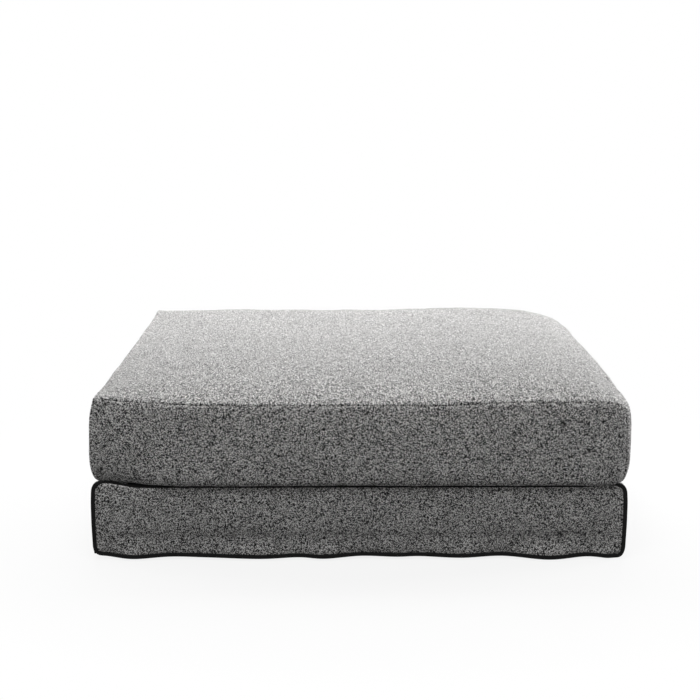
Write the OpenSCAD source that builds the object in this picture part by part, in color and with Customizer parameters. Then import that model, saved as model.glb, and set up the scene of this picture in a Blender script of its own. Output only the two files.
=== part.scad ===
// Square upholstered ottoman: a loose box cushion on a sprung timber base under a loose trimmed cover.
// The origin is on the floor under the middle. X runs to the right, Y to the back and Z up. Sizes in millimetres.

/* [Base] */
// Width of the base over its cover
base_w = 1200; // [900:10:1400]
// Depth of the base over its cover
base_d = 1200; // [900:10:1400]
// Height of the top of the base cover above the floor
deck_z = 172; // [150:1:220]
// Radius of the base cover's rolled top edge
edge_r = 19; // [14:1:24]
// Thickness of the cover cloth
cloth_t = 2; // [1.5:0.1:2.5]

/* [Hem and trim] */
// Mean height of the hem above the floor
hem_z = 7; // [6:0.5:12]
// Height of the hem's waves to either side of its mean
hem_wave = 3.6; // [1:0.2:4.5]
// How far the hem swings in and out
hem_swing = 4; // [1:0.5:5]
// Width of the flat woven trim
trim_w = 9; // [6:0.5:12]
// Thickness of the flat woven trim
trim_t = 4; // [3:0.5:5]

/* [Seat cushion] */
// How far the cushion's top seam lies inside the sides of the base
cushion_in = 5; // [0:1:15]
// Height of the cushion from its underside to its top seam
boxing_h = 188; // [150:2:220]
// Height of the crown above the top seam
crown_h = 42; // [25:1:60]
// How far the front and side boxing bulge
side_bulge = 10; // [7:0.5:14]
// How far the upright corner seams and the back boxing bulge
corner_bulge = 4.5; // [2:0.5:6]
// Radius by which the lower edge rolls under
under_r = 18; // [12:1:24]
// Thickness of the fibre layer at its edge, above and below the foam
fibre_t = 12; // [8:1:16]

/* [Frame] */
// Thickness of the rails
rail_t = 25; // [20:1:30]
// Height of the rails' top above the floor
rail_top = 140; // [120:1:145]
// Width of each corner block
block_w = 70; // [64:1:90]
// Height of each corner block
block_h = 95; // [70:1:95]
// Height of the centre rail
centre_h = 70; // [50:1:80]

/* [Feet] */
// Height of a glide with the dust cover on it
foot_h = 30; // [24:1:32]
// Diameter of a glide at its top
foot_d = 60; // [50:1:62]
// Diameter of the bolt in each glide
bolt_d = 8; // [6:1:8]
// How far a bolt reaches into the timber
bolt_grip = 40; // [30:1:50]

/* [Padding and webbing] */
// Thickness of the foam on the rails
pad_t = 8; // [6:0.5:10]
// Width of a webbing band
web_w = 70; // [50:5:80]
// Thickness of a webbing band
web_t = 1.8; // [1.2:0.1:2]
// Spacing of the webbing bands
web_pitch = 120; // [110:5:160]
// Thickness of the felt over the webbing
felt_t = 1.5; // [1:0.5:3]
// Thickness of the dust cover
dust_t = 1; // [0.5:0.1:1.5]

/* [Fastenings] */
// Width of the hook and loop tapes
grip_w = 20; // [16:1:22]
// Thickness of each of the two tapes
grip_t = 2.4; // [1.8:0.1:2.6]
// Diameter of the rail screws
screw_d = 5; // [4:0.5:6]
// Length of the rail screws
screw_len = 60; // [50:5:80]

/* [Zip] */
// Width of each zip tape
tape_w = 15; // [12:1:18]
// Opening between the boxing strips at the zip
zip_gap = 12; // [12:1:16]
// Distance from the cushion's corner to where the closed slider rests
zip_in = 85; // [65:5:120]
// Length of the slider
slider_len = 14; // [10:1:18]
// Length of the pull
pull_len = 26; // [18:1:40]

/* [Hidden] */

// Clearance round a soft solid
soft_gap = 0.3;
// Clearance at a sewn joint
seam_gap = 0.15;

// Base layout, from the cover inwards
half_w = base_w / 2;
half_d = base_d / 2;
trim_proud = trim_t / 4;
trim_in = trim_t - trim_proud;
pad_out_x = half_w - cloth_t - soft_gap;
pad_out_y = half_d - cloth_t - soft_gap;
rail_x = pad_out_x - pad_t;
rail_y = pad_out_y - pad_t;
inner_x = rail_x - rail_t;
inner_y = rail_y - rail_t;
rail_h = rail_top - foot_h;
// Free length of cloth below the tapes, and the height over which the cloth comes back out above them
grip_z = foot_h + 3;
slope_h = 14;
pad_z = grip_z + grip_w + slope_h + 2;
draw_in = half_w - cloth_t - rail_x - 2 * grip_t - 2 * soft_gap;
web_stack = 2 * web_t + 0.6;
felt_z = rail_top + web_stack;
deck_foam_z = felt_z + felt_t + soft_gap;
// How far each side panel reaches over the deck
band_w = 60;

// Cushion layout
cushion_z = deck_z + soft_gap;
seam_z = cushion_z + boxing_h;
seam_x = half_w - cushion_in;
zip_rest_x = seam_x - zip_in;
seam_y = half_d - cushion_in;
// The crown is steeper at the back and sides than at the front
front_power = 3.2;
back_power = 6;
edge_power = 0.75;
bulge_power = 6;
core_z = cushion_z + cloth_t + soft_gap + fibre_t + soft_gap;
core_top = seam_z - fibre_t - soft_gap;

// Zip layout: the tapes lie flat inside the back boxing
tape_t = 1;
coil_t = 1.5;
coil_w = 2.8;
coil_gap = 0.6;
zip_z = cushion_z + boxing_h / 2;
zip_y = seam_y + corner_bulge - cloth_t - 3 * soft_gap - tape_t / 2;
plate_t = 1.2;
slide_gap = 0.5;
slider_z = 5.2;
flange_w = 1;
post_half = 0.4;
outer_y = zip_y + tape_t / 2 + coil_t + slide_gap;
inner_plate_y = zip_y - tape_t / 2 - slide_gap - plate_t;
bar_r = 0.9;
bar_gap = 0.07;
lug_half = 2;
lug_z = 1.4;
pull_axis_y = outer_y + plate_t + 1.4;
pull_w = 6.4;
eye_reach = 4;
core_back = inner_plate_y - 3;

cloth = [0.42, 0.42, 0.41];
lining = [0.16, 0.16, 0.17];
timber = [0.72, 0.56, 0.38];
foam = [0.9, 0.87, 0.72];
black = [0.05, 0.05, 0.05];
metal = [0.55, 0.55, 0.56];

hem_cols = 30;
top_cells = 12;
round_fn = 48;

// Evenly spaced stations from -1 to 1, and stations that crowd towards both ends
function even(n) = [for (i = [0 : n]) 2 * i / n - 1];
function crowded(n) = [for (i = [0 : n]) sin(90 * (2 * i / n - 1))];

// Solid between two grids of points of the same shape; the faces are turned outwards whichever way they run
module between(outer, inner) {
    rows = len(outer);
    cols = len(outer[0]);
    pts = concat([for (r = outer) each r], [for (r = inner) each r]);
    skip = rows * cols;
    o = function(r, c) r * cols + c;
    i = function(r, c) skip + r * cols + c;
    lr = rows - 1;
    lc = cols - 1;
    faces = [
        for (r = [0 : lr - 1], c = [0 : lc - 1]) each [
            [o(r, c), o(r, c + 1), o(r + 1, c + 1)],
            [o(r, c), o(r + 1, c + 1), o(r + 1, c)],
            [i(r, c), i(r + 1, c + 1), i(r, c + 1)],
            [i(r, c), i(r + 1, c), i(r + 1, c + 1)]],
        for (c = [0 : lc - 1]) each [
            [o(0, c + 1), o(0, c), i(0, c)],
            [o(0, c + 1), i(0, c), i(0, c + 1)],
            [o(lr, c), o(lr, c + 1), i(lr, c + 1)],
            [o(lr, c), i(lr, c + 1), i(lr, c)]],
        for (r = [0 : lr - 1]) each [
            [o(r, 0), o(r + 1, 0), i(r + 1, 0)],
            [o(r, 0), i(r + 1, 0), i(r, 0)],
            [o(r + 1, lc), o(r, lc), i(r, lc)],
            [o(r + 1, lc), i(r, lc), i(r + 1, lc)]]];
    turned_solid(pts, faces);
}

// Solid from a stack of closed rings with the same number of points, closed by flat ends about the Z axis
module stacked(rings) {
    n = len(rings[0]);
    last = len(rings) - 1;
    pts = concat([for (r = rings) each r], [for (k = [0, last]) [0, 0, rings[k][0][2]]]);
    foot = (last + 1) * n;
    faces = [
        for (r = [0 : last - 1], c = [0 : n - 1]) let (d = (c + 1) % n) each [
            [r * n + c, r * n + d, (r + 1) * n + d],
            [r * n + c, (r + 1) * n + d, (r + 1) * n + c]],
        for (c = [0 : n - 1]) let (d = (c + 1) % n) each [
            [foot, d, c],
            [foot + 1, last * n + c, last * n + d]]];
    turned_solid(pts, faces);
}

// Closed loop of four-sided sections
module looped(sections) {
    n = len(sections);
    m = len(sections[0]);
    pts = [for (s = sections) each s];
    faces = [
        for (s = [0 : n - 1], c = [0 : m - 1])
            let (t = (s + 1) % n, d = (c + 1) % m) each [
                [s * m + c, s * m + d, t * m + d],
                [s * m + c, t * m + d, t * m + c]]];
    turned_solid(pts, faces);
}

module turned_solid(pts, faces) {
    volumes = [for (f = faces) pts[f[0]] * cross(pts[f[1]], pts[f[2]])];
    outward = volumes * [for (f = faces) 1] > 0;
    polyhedron(pts, outward ? [for (f = faces) [f[2], f[1], f[0]]] : faces, convexity = 6);
}

// Height of the hem and swing of the cloth at a share s of a side, from -1 to 1; each side has its own phase
function waves(s, phase) = let (fade = 1 - pow(abs(s), 10))
    fade * (0.45 * sin(360 * 2.2 * s + phase) + 0.35 * sin(360 * 3.5 * s + 2 * phase + 60)
    + 0.2 * sin(360 * 5.3 * s + 200));
function hem_at(s, phase) = hem_z + hem_wave * waves(s, phase);
function swing_at(s, phase, z) = let (share = max(0, 1 - (z - hem_z) / (grip_z - hem_z)))
    hem_swing * waves(s, phase + 35) * min(1, share) - draw_in * drawn(z);
// 1 where the tapes hold the cloth in, falling to 0 above them
function drawn(z) = min(1, max(0, 1 - (z - grip_z - grip_w) / slope_h));

// Cushion: height of the crown at shares u and v of its half width and half depth
function crown(u, v) = let (
    fu = 1 - pow(abs(u), back_power),
    fv = 1 - pow(abs(v), v < 0 ? front_power : back_power))
    crown_h * pow(max(0, fu * fv), edge_power);

// Section of the boxing from its bottom seam up: how far it stands outside the top seam, and its height.
// in is the depth below the outer surface, and bulge is the greatest bulge there.
roll_angles = [0, 30, 60];
upper_shares = [0, 0.15, 0.32, 0.5, 0.7, 0.88, 1];
function rolled(a, in, bulge) = [-(under_r) * (1 - sin(a)) - in * sin(a),
    cushion_z + under_r - (under_r - in) * cos(a)];
function upright(t, in, bulge) = [bulge * sin(180 * t) - in, cushion_z + under_r + (boxing_h - under_r) * t];
function boxing_rows(in, bulge) = concat(
    [for (a = roll_angles) rolled(a, in, bulge)],
    [for (t = upper_shares) upright(t, in, bulge)]);
function bulge_at(s, mid) = corner_bulge + (mid - corner_bulge) * (1 - pow(abs(s), bulge_power));

// Outline of the front and back panels: border of the trim at height z, and the rolled upper corners
roll_z = deck_z - edge_r;
roll_x = half_w - edge_r;
roll_arc = [0, 30, 60, 90];
corner_arc = [30, 60, 90];
function border_x(z) = half_w - draw_in * drawn(z);
function border_y(z) = half_d - draw_in * drawn(z);
// Heights of the rows of a panel below its rolled edge
function low_rows(s, phase) = let (first = hem_at(s, phase) + trim_w + seam_gap)
    [first, (first + grip_z) / 2, grip_z, grip_z + grip_w, grip_z + grip_w + slope_h, roll_z];

// Front panel at a depth below its outer face; the back panel is the same one turned round
function end_grid(phase, depth) = let (r = edge_r - trim_w - seam_gap) concat(
    [for (k = [0 : 5]) [for (s = even(hem_cols)) let (z = low_rows(s, phase)[k])
        [s * (border_x(z) - trim_w - seam_gap), -half_d - swing_at(s, phase, z) + depth, z]]],
    [for (a = corner_arc) [for (s = even(hem_cols))
        [s * (roll_x + r * cos(a)), -half_d + depth, roll_z + r * sin(a)]]]);

// Right panel at a depth below its outer face, with its roll and its band on the deck
function side_grid(phase, depth) = let (r = edge_r - depth) concat(
    [for (k = [0 : 5]) [for (s = even(hem_cols)) let (z = low_rows(s, phase)[k])
        [half_w + swing_at(s, phase, z) - depth, s * (border_y(z) - trim_in - seam_gap), z]]],
    [for (a = corner_arc) [for (s = even(hem_cols))
        [roll_x + r * cos(a), s * (half_d - trim_in - seam_gap), roll_z + r * sin(a)]]],
    [[for (s = even(hem_cols)) [roll_x - band_w, s * (half_d - trim_in - seam_gap), deck_z - depth]]]);

// One section of the loop of trim: its inner and outer edge in the plane of the panel, at share s of the side
function trim_section(s, phase, inner, outer) = let (
    yi = -half_d - swing_at(s, phase, inner[1]),
    yo = -half_d - swing_at(s, phase, outer[1]))
    [[outer[0], yo - trim_proud, outer[1]], [inner[0], yi - trim_proud, inner[1]],
    [inner[0], yi + trim_in, inner[1]], [outer[0], yo + trim_in, outer[1]]];
// Small radius inside the lower corners of the loop
nick = 0.4;
function trim_loop(phase) = let (
    corner_x = border_x(0) - trim_w - nick,
    upper = low_rows(1, phase),
    right = concat(
        [for (a = [-60, -30, 0]) let (d = [cos(a), sin(a)], c = [corner_x, hem_z + trim_w + nick])
            [c + nick * d, c + (trim_w + nick) * d]],
        [for (k = [1 : 5]) let (z = upper[k]) [[border_x(z) - trim_w, z], [border_x(z), z]]],
        [for (a = corner_arc) let (d = [cos(a), sin(a)], c = [roll_x, roll_z])
            [c + (edge_r - trim_w) * d, c + edge_r * d]]),
    n = len(right)) concat(
    [for (s = even(hem_cols)) let (z = hem_at(s, phase))
        trim_section(s, phase, [s * corner_x, z + trim_w], [s * corner_x, z])],
    [for (p = right) trim_section(1, phase, p[0], p[1])],
    [for (k = [1 : n]) let (p = right[n - k])
        trim_section(-1, phase, [-p[0][0], p[0][1]], [-p[1][0], p[1][1]])]);

phase_front = 20;
phase_back = 150;
phase_left = 80;
phase_right = 230;

module cover_end(phase) {
    color(cloth) between(end_grid(phase, 0), end_grid(phase, cloth_t));
}
module cover_side(phase) {
    color(cloth) between(side_grid(phase, 0), side_grid(phase, cloth_t));
}
module hem_strip(phase) {
    grid = function(depth) [for (rise = [0, trim_w]) [for (s = even(hem_cols))
        let (z = hem_at(s, phase) + rise)
        [half_w + swing_at(s, phase, z) - depth, s * (border_y(z) - trim_in - seam_gap), z]]];
    color(black) between(grid(-trim_proud), grid(trim_in));
}
module cover_front() { cover_end(phase_front); }
module cover_back() { rotate([0, 0, 180]) cover_end(phase_back); }
module cover_right() { cover_side(phase_right); }
module cover_left() { rotate([0, 0, 180]) cover_side(phase_left); }
module trim_front() { color(black) looped(trim_loop(phase_front)); }
module trim_back() { color(black) rotate([0, 0, 180]) looped(trim_loop(phase_back)); }
module trim_right() { hem_strip(phase_right); }
module trim_left() { rotate([0, 0, 180]) hem_strip(phase_left); }
module cover_deck() {
    x = roll_x - band_w - seam_gap;
    y = half_d - trim_in - seam_gap;
    color(lining) translate([-x, -y, deck_z - cloth_t]) cube([2 * x, 2 * y, cloth_t]);
}

// Frame
bolt_gap = 0.2;
head_d = 2 * bolt_d;
head_h = 6;
head_seat = 8;
block_x = inner_x - block_w / 2;
block_y = inner_y - block_w / 2;
module glide(x, y) {
    body_h = foot_h - dust_t;
    color(black) translate([x, y, 0]) difference() {
        cylinder(h = body_h, d1 = foot_d - 6, d2 = foot_d, $fn = round_fn);
        translate([0, 0, -1]) cylinder(h = head_seat + 1, d = head_d + 4, $fn = round_fn);
        cylinder(h = body_h + 1, d = bolt_d + 2 * bolt_gap, $fn = round_fn);
    }
}
module foot_front_left() { glide(-block_x, -block_y); }
module foot_front_right() { glide(block_x, -block_y); }
module foot_back_left() { glide(-block_x, block_y); }
module foot_back_right() { glide(block_x, block_y); }
module foot_centre() { glide(0, 0); }
foot_places = [[-block_x, -block_y], [block_x, -block_y], [-block_x, block_y], [block_x, block_y], [0, 0]];
module foot_bolts() {
    color(metal) for (p = foot_places) translate([p[0], p[1], head_seat - head_h]) {
        cylinder(h = head_h, d = head_d, $fn = round_fn);
        cylinder(h = foot_h + bolt_grip - head_seat + head_h, d = bolt_d, $fn = round_fn);
    }
}
module bolt_bore(x, y) {
    translate([x, y, foot_h - 1]) cylinder(h = bolt_grip + 2, d = bolt_d + 2 * bolt_gap, $fn = round_fn);
}

// Screws run through the front and back rails into the ends of the rails between them
screw_gap = 0.1;
countersink_h = 3;
screw_x = [-rail_x + rail_t / 2, 0, rail_x - rail_t / 2];
function screw_z(x) = x == 0 ? [foot_h + centre_h / 4, foot_h + centre_h * 3 / 4]
    : [foot_h + rail_h / 4, foot_h + rail_h * 3 / 4];
module screw_shape(x, z, gap) {
    translate([x, -rail_y, z]) rotate([-90, 0, 0]) {
        cylinder(h = screw_len + gap, d = screw_d + 2 * gap, $fn = round_fn);
        cylinder(h = countersink_h, r1 = screw_d + gap, r2 = screw_d / 2 + gap, $fn = round_fn);
    }
}
module screws(gap) {
    for (turn = [0, 180], x = screw_x, z = screw_z(x)) rotate([0, 0, turn]) screw_shape(x, z, gap);
}
module rail_screws() { color(metal) screws(0); }
module long_rail() {
    color(timber) difference() {
        translate([-rail_x, -rail_y, foot_h]) cube([2 * rail_x, rail_t, rail_h]);
        for (x = screw_x, z = screw_z(x)) screw_shape(x, z, screw_gap);
    }
}
module side_rail() {
    color(timber) difference() {
        translate([inner_x, -inner_y, foot_h]) cube([rail_t, 2 * inner_y, rail_h]);
        screws(screw_gap);
    }
}
module rail_front() { long_rail(); }
module rail_back() { rotate([0, 0, 180]) long_rail(); }
module rail_right() { side_rail(); }
module rail_left() { rotate([0, 0, 180]) side_rail(); }
module rail_centre() {
    color(timber) difference() {
        translate([-rail_t / 2, -inner_y, foot_h]) cube([rail_t, 2 * inner_y, centre_h]);
        screws(screw_gap);
        bolt_bore(0, 0);
    }
}
module block(side_x, side_y) {
    color(timber) difference() {
        translate([side_x * block_x - block_w / 2, side_y * block_y - block_w / 2, foot_h])
            cube([block_w, block_w, block_h]);
        bolt_bore(side_x * block_x, side_y * block_y);
    }
}
module block_front_left() { block(-1, -1); }
module block_front_right() { block(1, -1); }
module block_back_left() { block(-1, 1); }
module block_back_right() { block(1, 1); }

// Webbing: each band goes over and under the bands that cross it
web_over = web_t + 0.2;
function web_places(room) = let (n = floor((room - web_w / 2 - 10) / web_pitch)) [for (k = [-n : n]) k * web_pitch];
web_end_x = inner_x + rail_t - 6;
web_end_y = inner_y + rail_t - 6;
function web_line(places, end, turn) = concat([[-end, 0]],
    [for (k = [0 : len(places) - 1]) let (z = (k + turn) % 2 == 0 ? web_over : 0, reach = web_w / 2 + 2)
        each [[places[k] - reach, z], [places[k] + reach, z]]],
    [[end, 0]]);
module web_band(places, end, turn) {
    line = web_line(places, end, turn);
    n = len(line);
    above = [for (k = [1 : n]) line[n - k] + [0, web_t]];
    rotate([90, 0, 0]) linear_extrude(web_w, center = true) polygon(concat(line, above));
}
long_places = web_places(inner_y);
cross_places = web_places(inner_x);
module webbing_long() {
    color(lining) for (k = [0 : len(long_places) - 1])
        translate([0, long_places[k], rail_top]) web_band(cross_places, web_end_x, k);
}
module webbing_cross() {
    color(lining) for (k = [0 : len(cross_places) - 1])
        translate([cross_places[k], 0, rail_top]) rotate([0, 0, -90]) mirror([1, 0, 0])
            web_band(long_places, web_end_y, k + 1);
}
staple_w = 12;
staple_wire = 1;
staple_leg = 10;
module staple() {
    translate([-staple_wire / 2, -staple_w / 2, 0]) cube([staple_wire, staple_w, staple_wire]);
    for (side = [-1, 1])
        translate([-staple_wire / 2, side * (staple_w - staple_wire) / 2 - staple_wire / 2, -staple_leg])
            cube([staple_wire, staple_wire, staple_leg + staple_wire]);
}
module webbing_staples() {
    top = rail_top + web_t;
    color(metal) for (side = [-1, 1], shift = [-web_w / 4, web_w / 4]) {
        for (y = long_places) translate([side * (inner_x + rail_t / 2), y + shift, top]) staple();
        for (x = cross_places) translate([x + shift, side * (inner_y + rail_t / 2), top])
            rotate([0, 0, 90]) staple();
    }
}

// Padding and lining
felt_in = 5;
module deck_felt() {
    x = rail_x - felt_in;
    y = rail_y - felt_in;
    color(lining) translate([-x, -y, felt_z]) cube([2 * x, 2 * y, felt_t]);
}
module deck_pad() {
    r = edge_r - cloth_t - soft_gap;
    y = half_d - trim_in - seam_gap - soft_gap;
    right = [for (a = roll_arc) [roll_x + r * cos(a), roll_z + r * sin(a)]];
    n = len(right);
    outline = concat([[pad_out_x, deck_foam_z]], right,
        [for (k = [1 : n]) [-right[n - k][0], right[n - k][1]]], [[-pad_out_x, deck_foam_z]]);
    color(foam) rotate([90, 0, 0]) linear_extrude(2 * y, center = true) polygon(outline);
}
module rail_pad(along, out, inside) {
    color(foam) translate([-along, -out, pad_z]) cube([2 * along, out - inside, deck_foam_z - soft_gap - pad_z]);
}
module pad_front() { rail_pad(rail_x, pad_out_y, rail_y); }
module pad_back() { rotate([0, 0, 180]) rail_pad(rail_x, pad_out_y, rail_y); }
module pad_left() { rotate([0, 0, -90]) rail_pad(rail_y, pad_out_x, rail_x); }
module pad_right() { rotate([0, 0, 90]) rail_pad(rail_y, pad_out_x, rail_x); }
dust_in = 8;
module dust_cover() {
    x = rail_x - dust_in;
    y = rail_y - dust_in;
    color(lining) difference() {
        translate([-x, -y, foot_h - dust_t]) cube([2 * x, 2 * y, dust_t]);
        for (p = foot_places) translate([p[0], p[1], 0]) cylinder(h = foot_h + 1, d = bolt_d + 1, $fn = round_fn);
    }
}
tape_end = 30;
module grip_strips(depth) {
    for (turn = [0, 90, 180, 270]) {
        across = turn % 180 == 0;
        along = (across ? rail_x : rail_y) - tape_end;
        out = across ? rail_y : rail_x;
        rotate([0, 0, turn]) translate([-along, -out - depth - grip_t, grip_z]) cube([2 * along, grip_t, grip_w]);
    }
}
module hook_tape() { color(black) grip_strips(0); }
module loop_tape() { color(lining) grip_strips(grip_t + 2 * soft_gap); }

// Seat cushion
function top_grid(x, y, lift) = [for (v = crowded(top_cells)) [for (u = crowded(top_cells))
    [u * x, v * y, seam_z + lift + crown(u, v)]]];
function flat_grid(x, y, z) = [for (v = crowded(top_cells)) [for (u = crowded(top_cells)) [u * x, v * y, z]]];
module cushion_top() {
    color(cloth) between(top_grid(seam_x, seam_y, cloth_t), top_grid(seam_x, seam_y, 0));
}
module fibre_upper() {
    x = seam_x - cloth_t - soft_gap;
    y = seam_y - cloth_t - soft_gap;
    color("white") between(top_grid(x, y, -soft_gap), flat_grid(x, y, core_top + soft_gap));
}
module fibre_lower() {
    x = seam_x - under_r - 2 * soft_gap;
    y = seam_y - under_r - 2 * soft_gap;
    color("white") translate([-x, -y, cushion_z + cloth_t + soft_gap]) cube([2 * x, 2 * y, fibre_t]);
}
module cushion_bottom() {
    x = seam_x - under_r - seam_gap;
    y = seam_y - under_r - seam_gap;
    color(cloth) translate([-x, -y, cushion_z]) cube([2 * x, 2 * y, cloth_t]);
}

// Boxing of the front, seen from the front, and of the right side
boxing_cols = 10;
function front_box(in) = [for (k = [0 : len(boxing_rows(0, 0)) - 1]) [for (s = crowded(boxing_cols))
    let (p = boxing_rows(in, bulge_at(s, side_bulge))[k], c = boxing_rows(in, corner_bulge)[k])
    [s * (seam_x + c[0] - seam_gap), -seam_y - p[0], p[1]]]];
function side_box(in) = [for (k = [0 : len(boxing_rows(0, 0)) - 1]) [for (s = crowded(boxing_cols))
    let (p = boxing_rows(in, bulge_at(s, side_bulge))[k], c = boxing_rows(in, corner_bulge)[k])
    [seam_x + p[0], s * (seam_y + c[0] - seam_gap), p[1]]]];
module boxing_front() { color(cloth) between(front_box(0), front_box(cloth_t)); }
module boxing_right() { color(cloth) between(side_box(0), side_box(cloth_t)); }
module boxing_left() { mirror([1, 0, 0]) boxing_right(); }

// Boxing of the back, straight along its length, in two strips that leave the zip free
zip_low = (boxing_h / 2 - under_r - zip_gap / 2) / (boxing_h - under_r);
zip_high = (boxing_h / 2 - under_r + zip_gap / 2) / (boxing_h - under_r);
function back_box(rows) = [for (p = rows) [for (s = [-1, 0, 1])
    [s * (seam_x + p[0] - seam_gap), seam_y + p[0], p[1]]]];
function lower_rows(in) = concat([for (a = roll_angles) rolled(a, in, corner_bulge)],
    [for (t = [0, 0.4, 0.75, 1]) upright(t * zip_low, in, corner_bulge)]);
function upper_rows(in) = [for (t = [zip_high, 0.6, 0.75, 0.9, 1]) upright(t, in, corner_bulge)];
module boxing_back_lower() { color(cloth) between(back_box(lower_rows(0)), back_box(lower_rows(cloth_t))); }
module boxing_back_upper() { color(cloth) between(back_box(upper_rows(0)), back_box(upper_rows(cloth_t))); }

// Foam core: rings that follow the inside of the boxing, with a flat back behind the zip
core_cells = 10;
// Clearance between the foam and the boxing
core_gap = 1.2;
core_last = (core_top - cushion_z - under_r) / (boxing_h - under_r);
function core_ring(z, offset) = let (
    stations = [for (k = [0 : core_cells - 1]) crowded(core_cells)[k]],
    side_x = seam_x + offset(corner_bulge),
    front_y = seam_y + offset(corner_bulge),
    mid_y = (core_back - front_y) / 2,
    half_y = (core_back + front_y) / 2) concat(
    [for (s = stations) [s * side_x, -seam_y - offset(bulge_at(s, side_bulge)), z]],
    [for (s = stations) [seam_x + offset(bulge_at(s, side_bulge)), mid_y + s * half_y, z]],
    [for (s = stations) [-s * side_x, core_back, z]],
    [for (s = stations) [-seam_x - offset(bulge_at(s, side_bulge)), mid_y - s * half_y, z]]);
module cushion_core() {
    in = cloth_t + core_gap;
    at = function(t) core_ring(cushion_z + under_r + (boxing_h - under_r) * t,
        function(bulge) bulge * sin(180 * t) - in);
    color(foam) stacked(concat([core_ring(core_z, function(bulge) -in - 1)],
        [for (t = [0, 0.15, 0.32, 0.5, 0.7, 0.88, core_last]) at(t)]));
}

// Zip
module zip_tapes() {
    x = seam_x - 6;
    color(black) for (side = [0, 180]) translate([0, zip_y, zip_z]) rotate([0, side, 0])
        translate([-x, -tape_t / 2, coil_gap]) cube([2 * x, tape_t, tape_w]);
}
coil_end = zip_rest_x + slider_len / 2 + 1.5;
stop_gap = 0.3;
stop_len = 4;
module zip_coils() {
    color(black) for (side = [0, 180]) translate([0, zip_y, zip_z]) rotate([0, side, 0])
        translate([-coil_end, tape_t / 2, coil_gap]) cube([2 * coil_end, coil_t, coil_w]);
}
module zip_stops() {
    color(metal) for (x = [-coil_end - stop_gap - stop_len, coil_end + stop_gap])
        translate([x, zip_y + tape_t / 2, zip_z - slider_z + flange_w])
            cube([stop_len, coil_t, 2 * (slider_z - flange_w)]);
}
module zip_slider() {
    body = function(y, z) [slider_len, y, 2 * z];
    start = -slider_len / 2;
    flange_y = zip_y + tape_t / 2 + slide_gap;
    lug_y = outer_y + plate_t;
    lug_end = pull_axis_y + lug_half;
    color(metal) translate([zip_rest_x, 0, zip_z]) difference() {
        union() {
            translate([start, inner_plate_y, -slider_z]) cube(body(plate_t, slider_z));
            translate([start, outer_y, -slider_z]) cube(body(plate_t, slider_z));
            translate([start, inner_plate_y, -post_half]) cube(body(outer_y - inner_plate_y + plate_t, post_half));
            for (z = [-slider_z, slider_z - flange_w])
                translate([start, flange_y, z]) cube([slider_len, outer_y - flange_y + plate_t, flange_w]);
            translate([-lug_half, lug_y - 0.5, -lug_z]) cube([2 * lug_half, lug_end - lug_y + 0.5, 2 * lug_z]);
        }
        translate([0, pull_axis_y, -lug_z - 1]) cylinder(h = 2 * lug_z + 2, r = bar_r + bar_gap, $fn = round_fn);
    }
}
pull_t = 1.2;
cheek_gap = 0.4;
module zip_pull() {
    cheek_z = lug_z + cheek_gap;
    cheek_w = pull_w / 2 - cheek_z;
    color(metal) translate([zip_rest_x, pull_axis_y, zip_z]) {
        translate([0, 0, -cheek_z - cheek_w / 2]) cylinder(h = 2 * cheek_z + cheek_w, r = bar_r, $fn = round_fn);
        for (z = [-cheek_z - cheek_w, cheek_z])
            translate([-bar_r, -pull_t / 2, z]) cube([eye_reach + bar_r + 1, pull_t, cheek_w]);
        difference() {
            translate([eye_reach, -pull_t / 2, -pull_w / 2]) cube([pull_len - eye_reach, pull_t, pull_w]);
            translate([pull_len - pull_w / 2, 0, 0]) rotate([90, 0, 0])
                cylinder(h = 2 * pull_t, d = pull_w / 2, center = true, $fn = round_fn);
        }
    }
}

foot_front_left();
foot_front_right();
foot_back_left();
foot_back_right();
foot_centre();
foot_bolts();
rail_front();
rail_back();
rail_left();
rail_right();
rail_centre();
block_front_left();
block_front_right();
block_back_left();
block_back_right();
rail_screws();
webbing_long();
webbing_cross();
webbing_staples();
deck_felt();
deck_pad();
pad_front();
pad_back();
pad_left();
pad_right();
dust_cover();
hook_tape();
loop_tape();
cover_deck();
cover_front();
cover_back();
cover_left();
cover_right();
trim_front();
trim_back();
trim_left();
trim_right();
cushion_core();
fibre_upper();
fibre_lower();
cushion_top();
cushion_bottom();
boxing_front();
boxing_left();
boxing_right();
boxing_back_lower();
boxing_back_upper();
zip_tapes();
zip_coils();
zip_stops();
zip_slider();
zip_pull();
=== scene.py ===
"""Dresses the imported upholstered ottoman: tweed covers, black woven trim, zip, padding, frame and a white studio.

All sizes are in metres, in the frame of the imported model: the origin is on the floor under the middle, X runs to the
right, Y to the back and Z up.
"""
import logging
from dataclasses import dataclass, field
from enum import Enum, IntEnum
from math import radians
from typing import Sequence

import bmesh
import bpy
import numpy as np
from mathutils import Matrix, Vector


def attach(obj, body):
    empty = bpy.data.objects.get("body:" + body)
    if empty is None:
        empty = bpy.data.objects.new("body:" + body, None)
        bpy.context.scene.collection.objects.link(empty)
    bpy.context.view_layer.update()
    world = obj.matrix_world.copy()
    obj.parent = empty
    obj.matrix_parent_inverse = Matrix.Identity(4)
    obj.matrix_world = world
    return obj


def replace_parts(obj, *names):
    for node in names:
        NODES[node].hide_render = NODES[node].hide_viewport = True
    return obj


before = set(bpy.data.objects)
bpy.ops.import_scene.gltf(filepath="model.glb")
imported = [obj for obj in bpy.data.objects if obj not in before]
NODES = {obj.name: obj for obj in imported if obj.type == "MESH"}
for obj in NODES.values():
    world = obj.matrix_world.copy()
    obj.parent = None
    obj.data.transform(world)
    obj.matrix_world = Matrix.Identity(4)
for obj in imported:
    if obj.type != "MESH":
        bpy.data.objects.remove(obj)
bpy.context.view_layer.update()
MM = 0.001
UP = np.array([0.0, 0.0, 1.0])
WHITE = (1.0, 1.0, 1.0, 1.0)
SWELL_WAVES = 16
log = logging.getLogger("ottoman")
Object = bpy.types.Object
Node = bpy.types.Node
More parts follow.
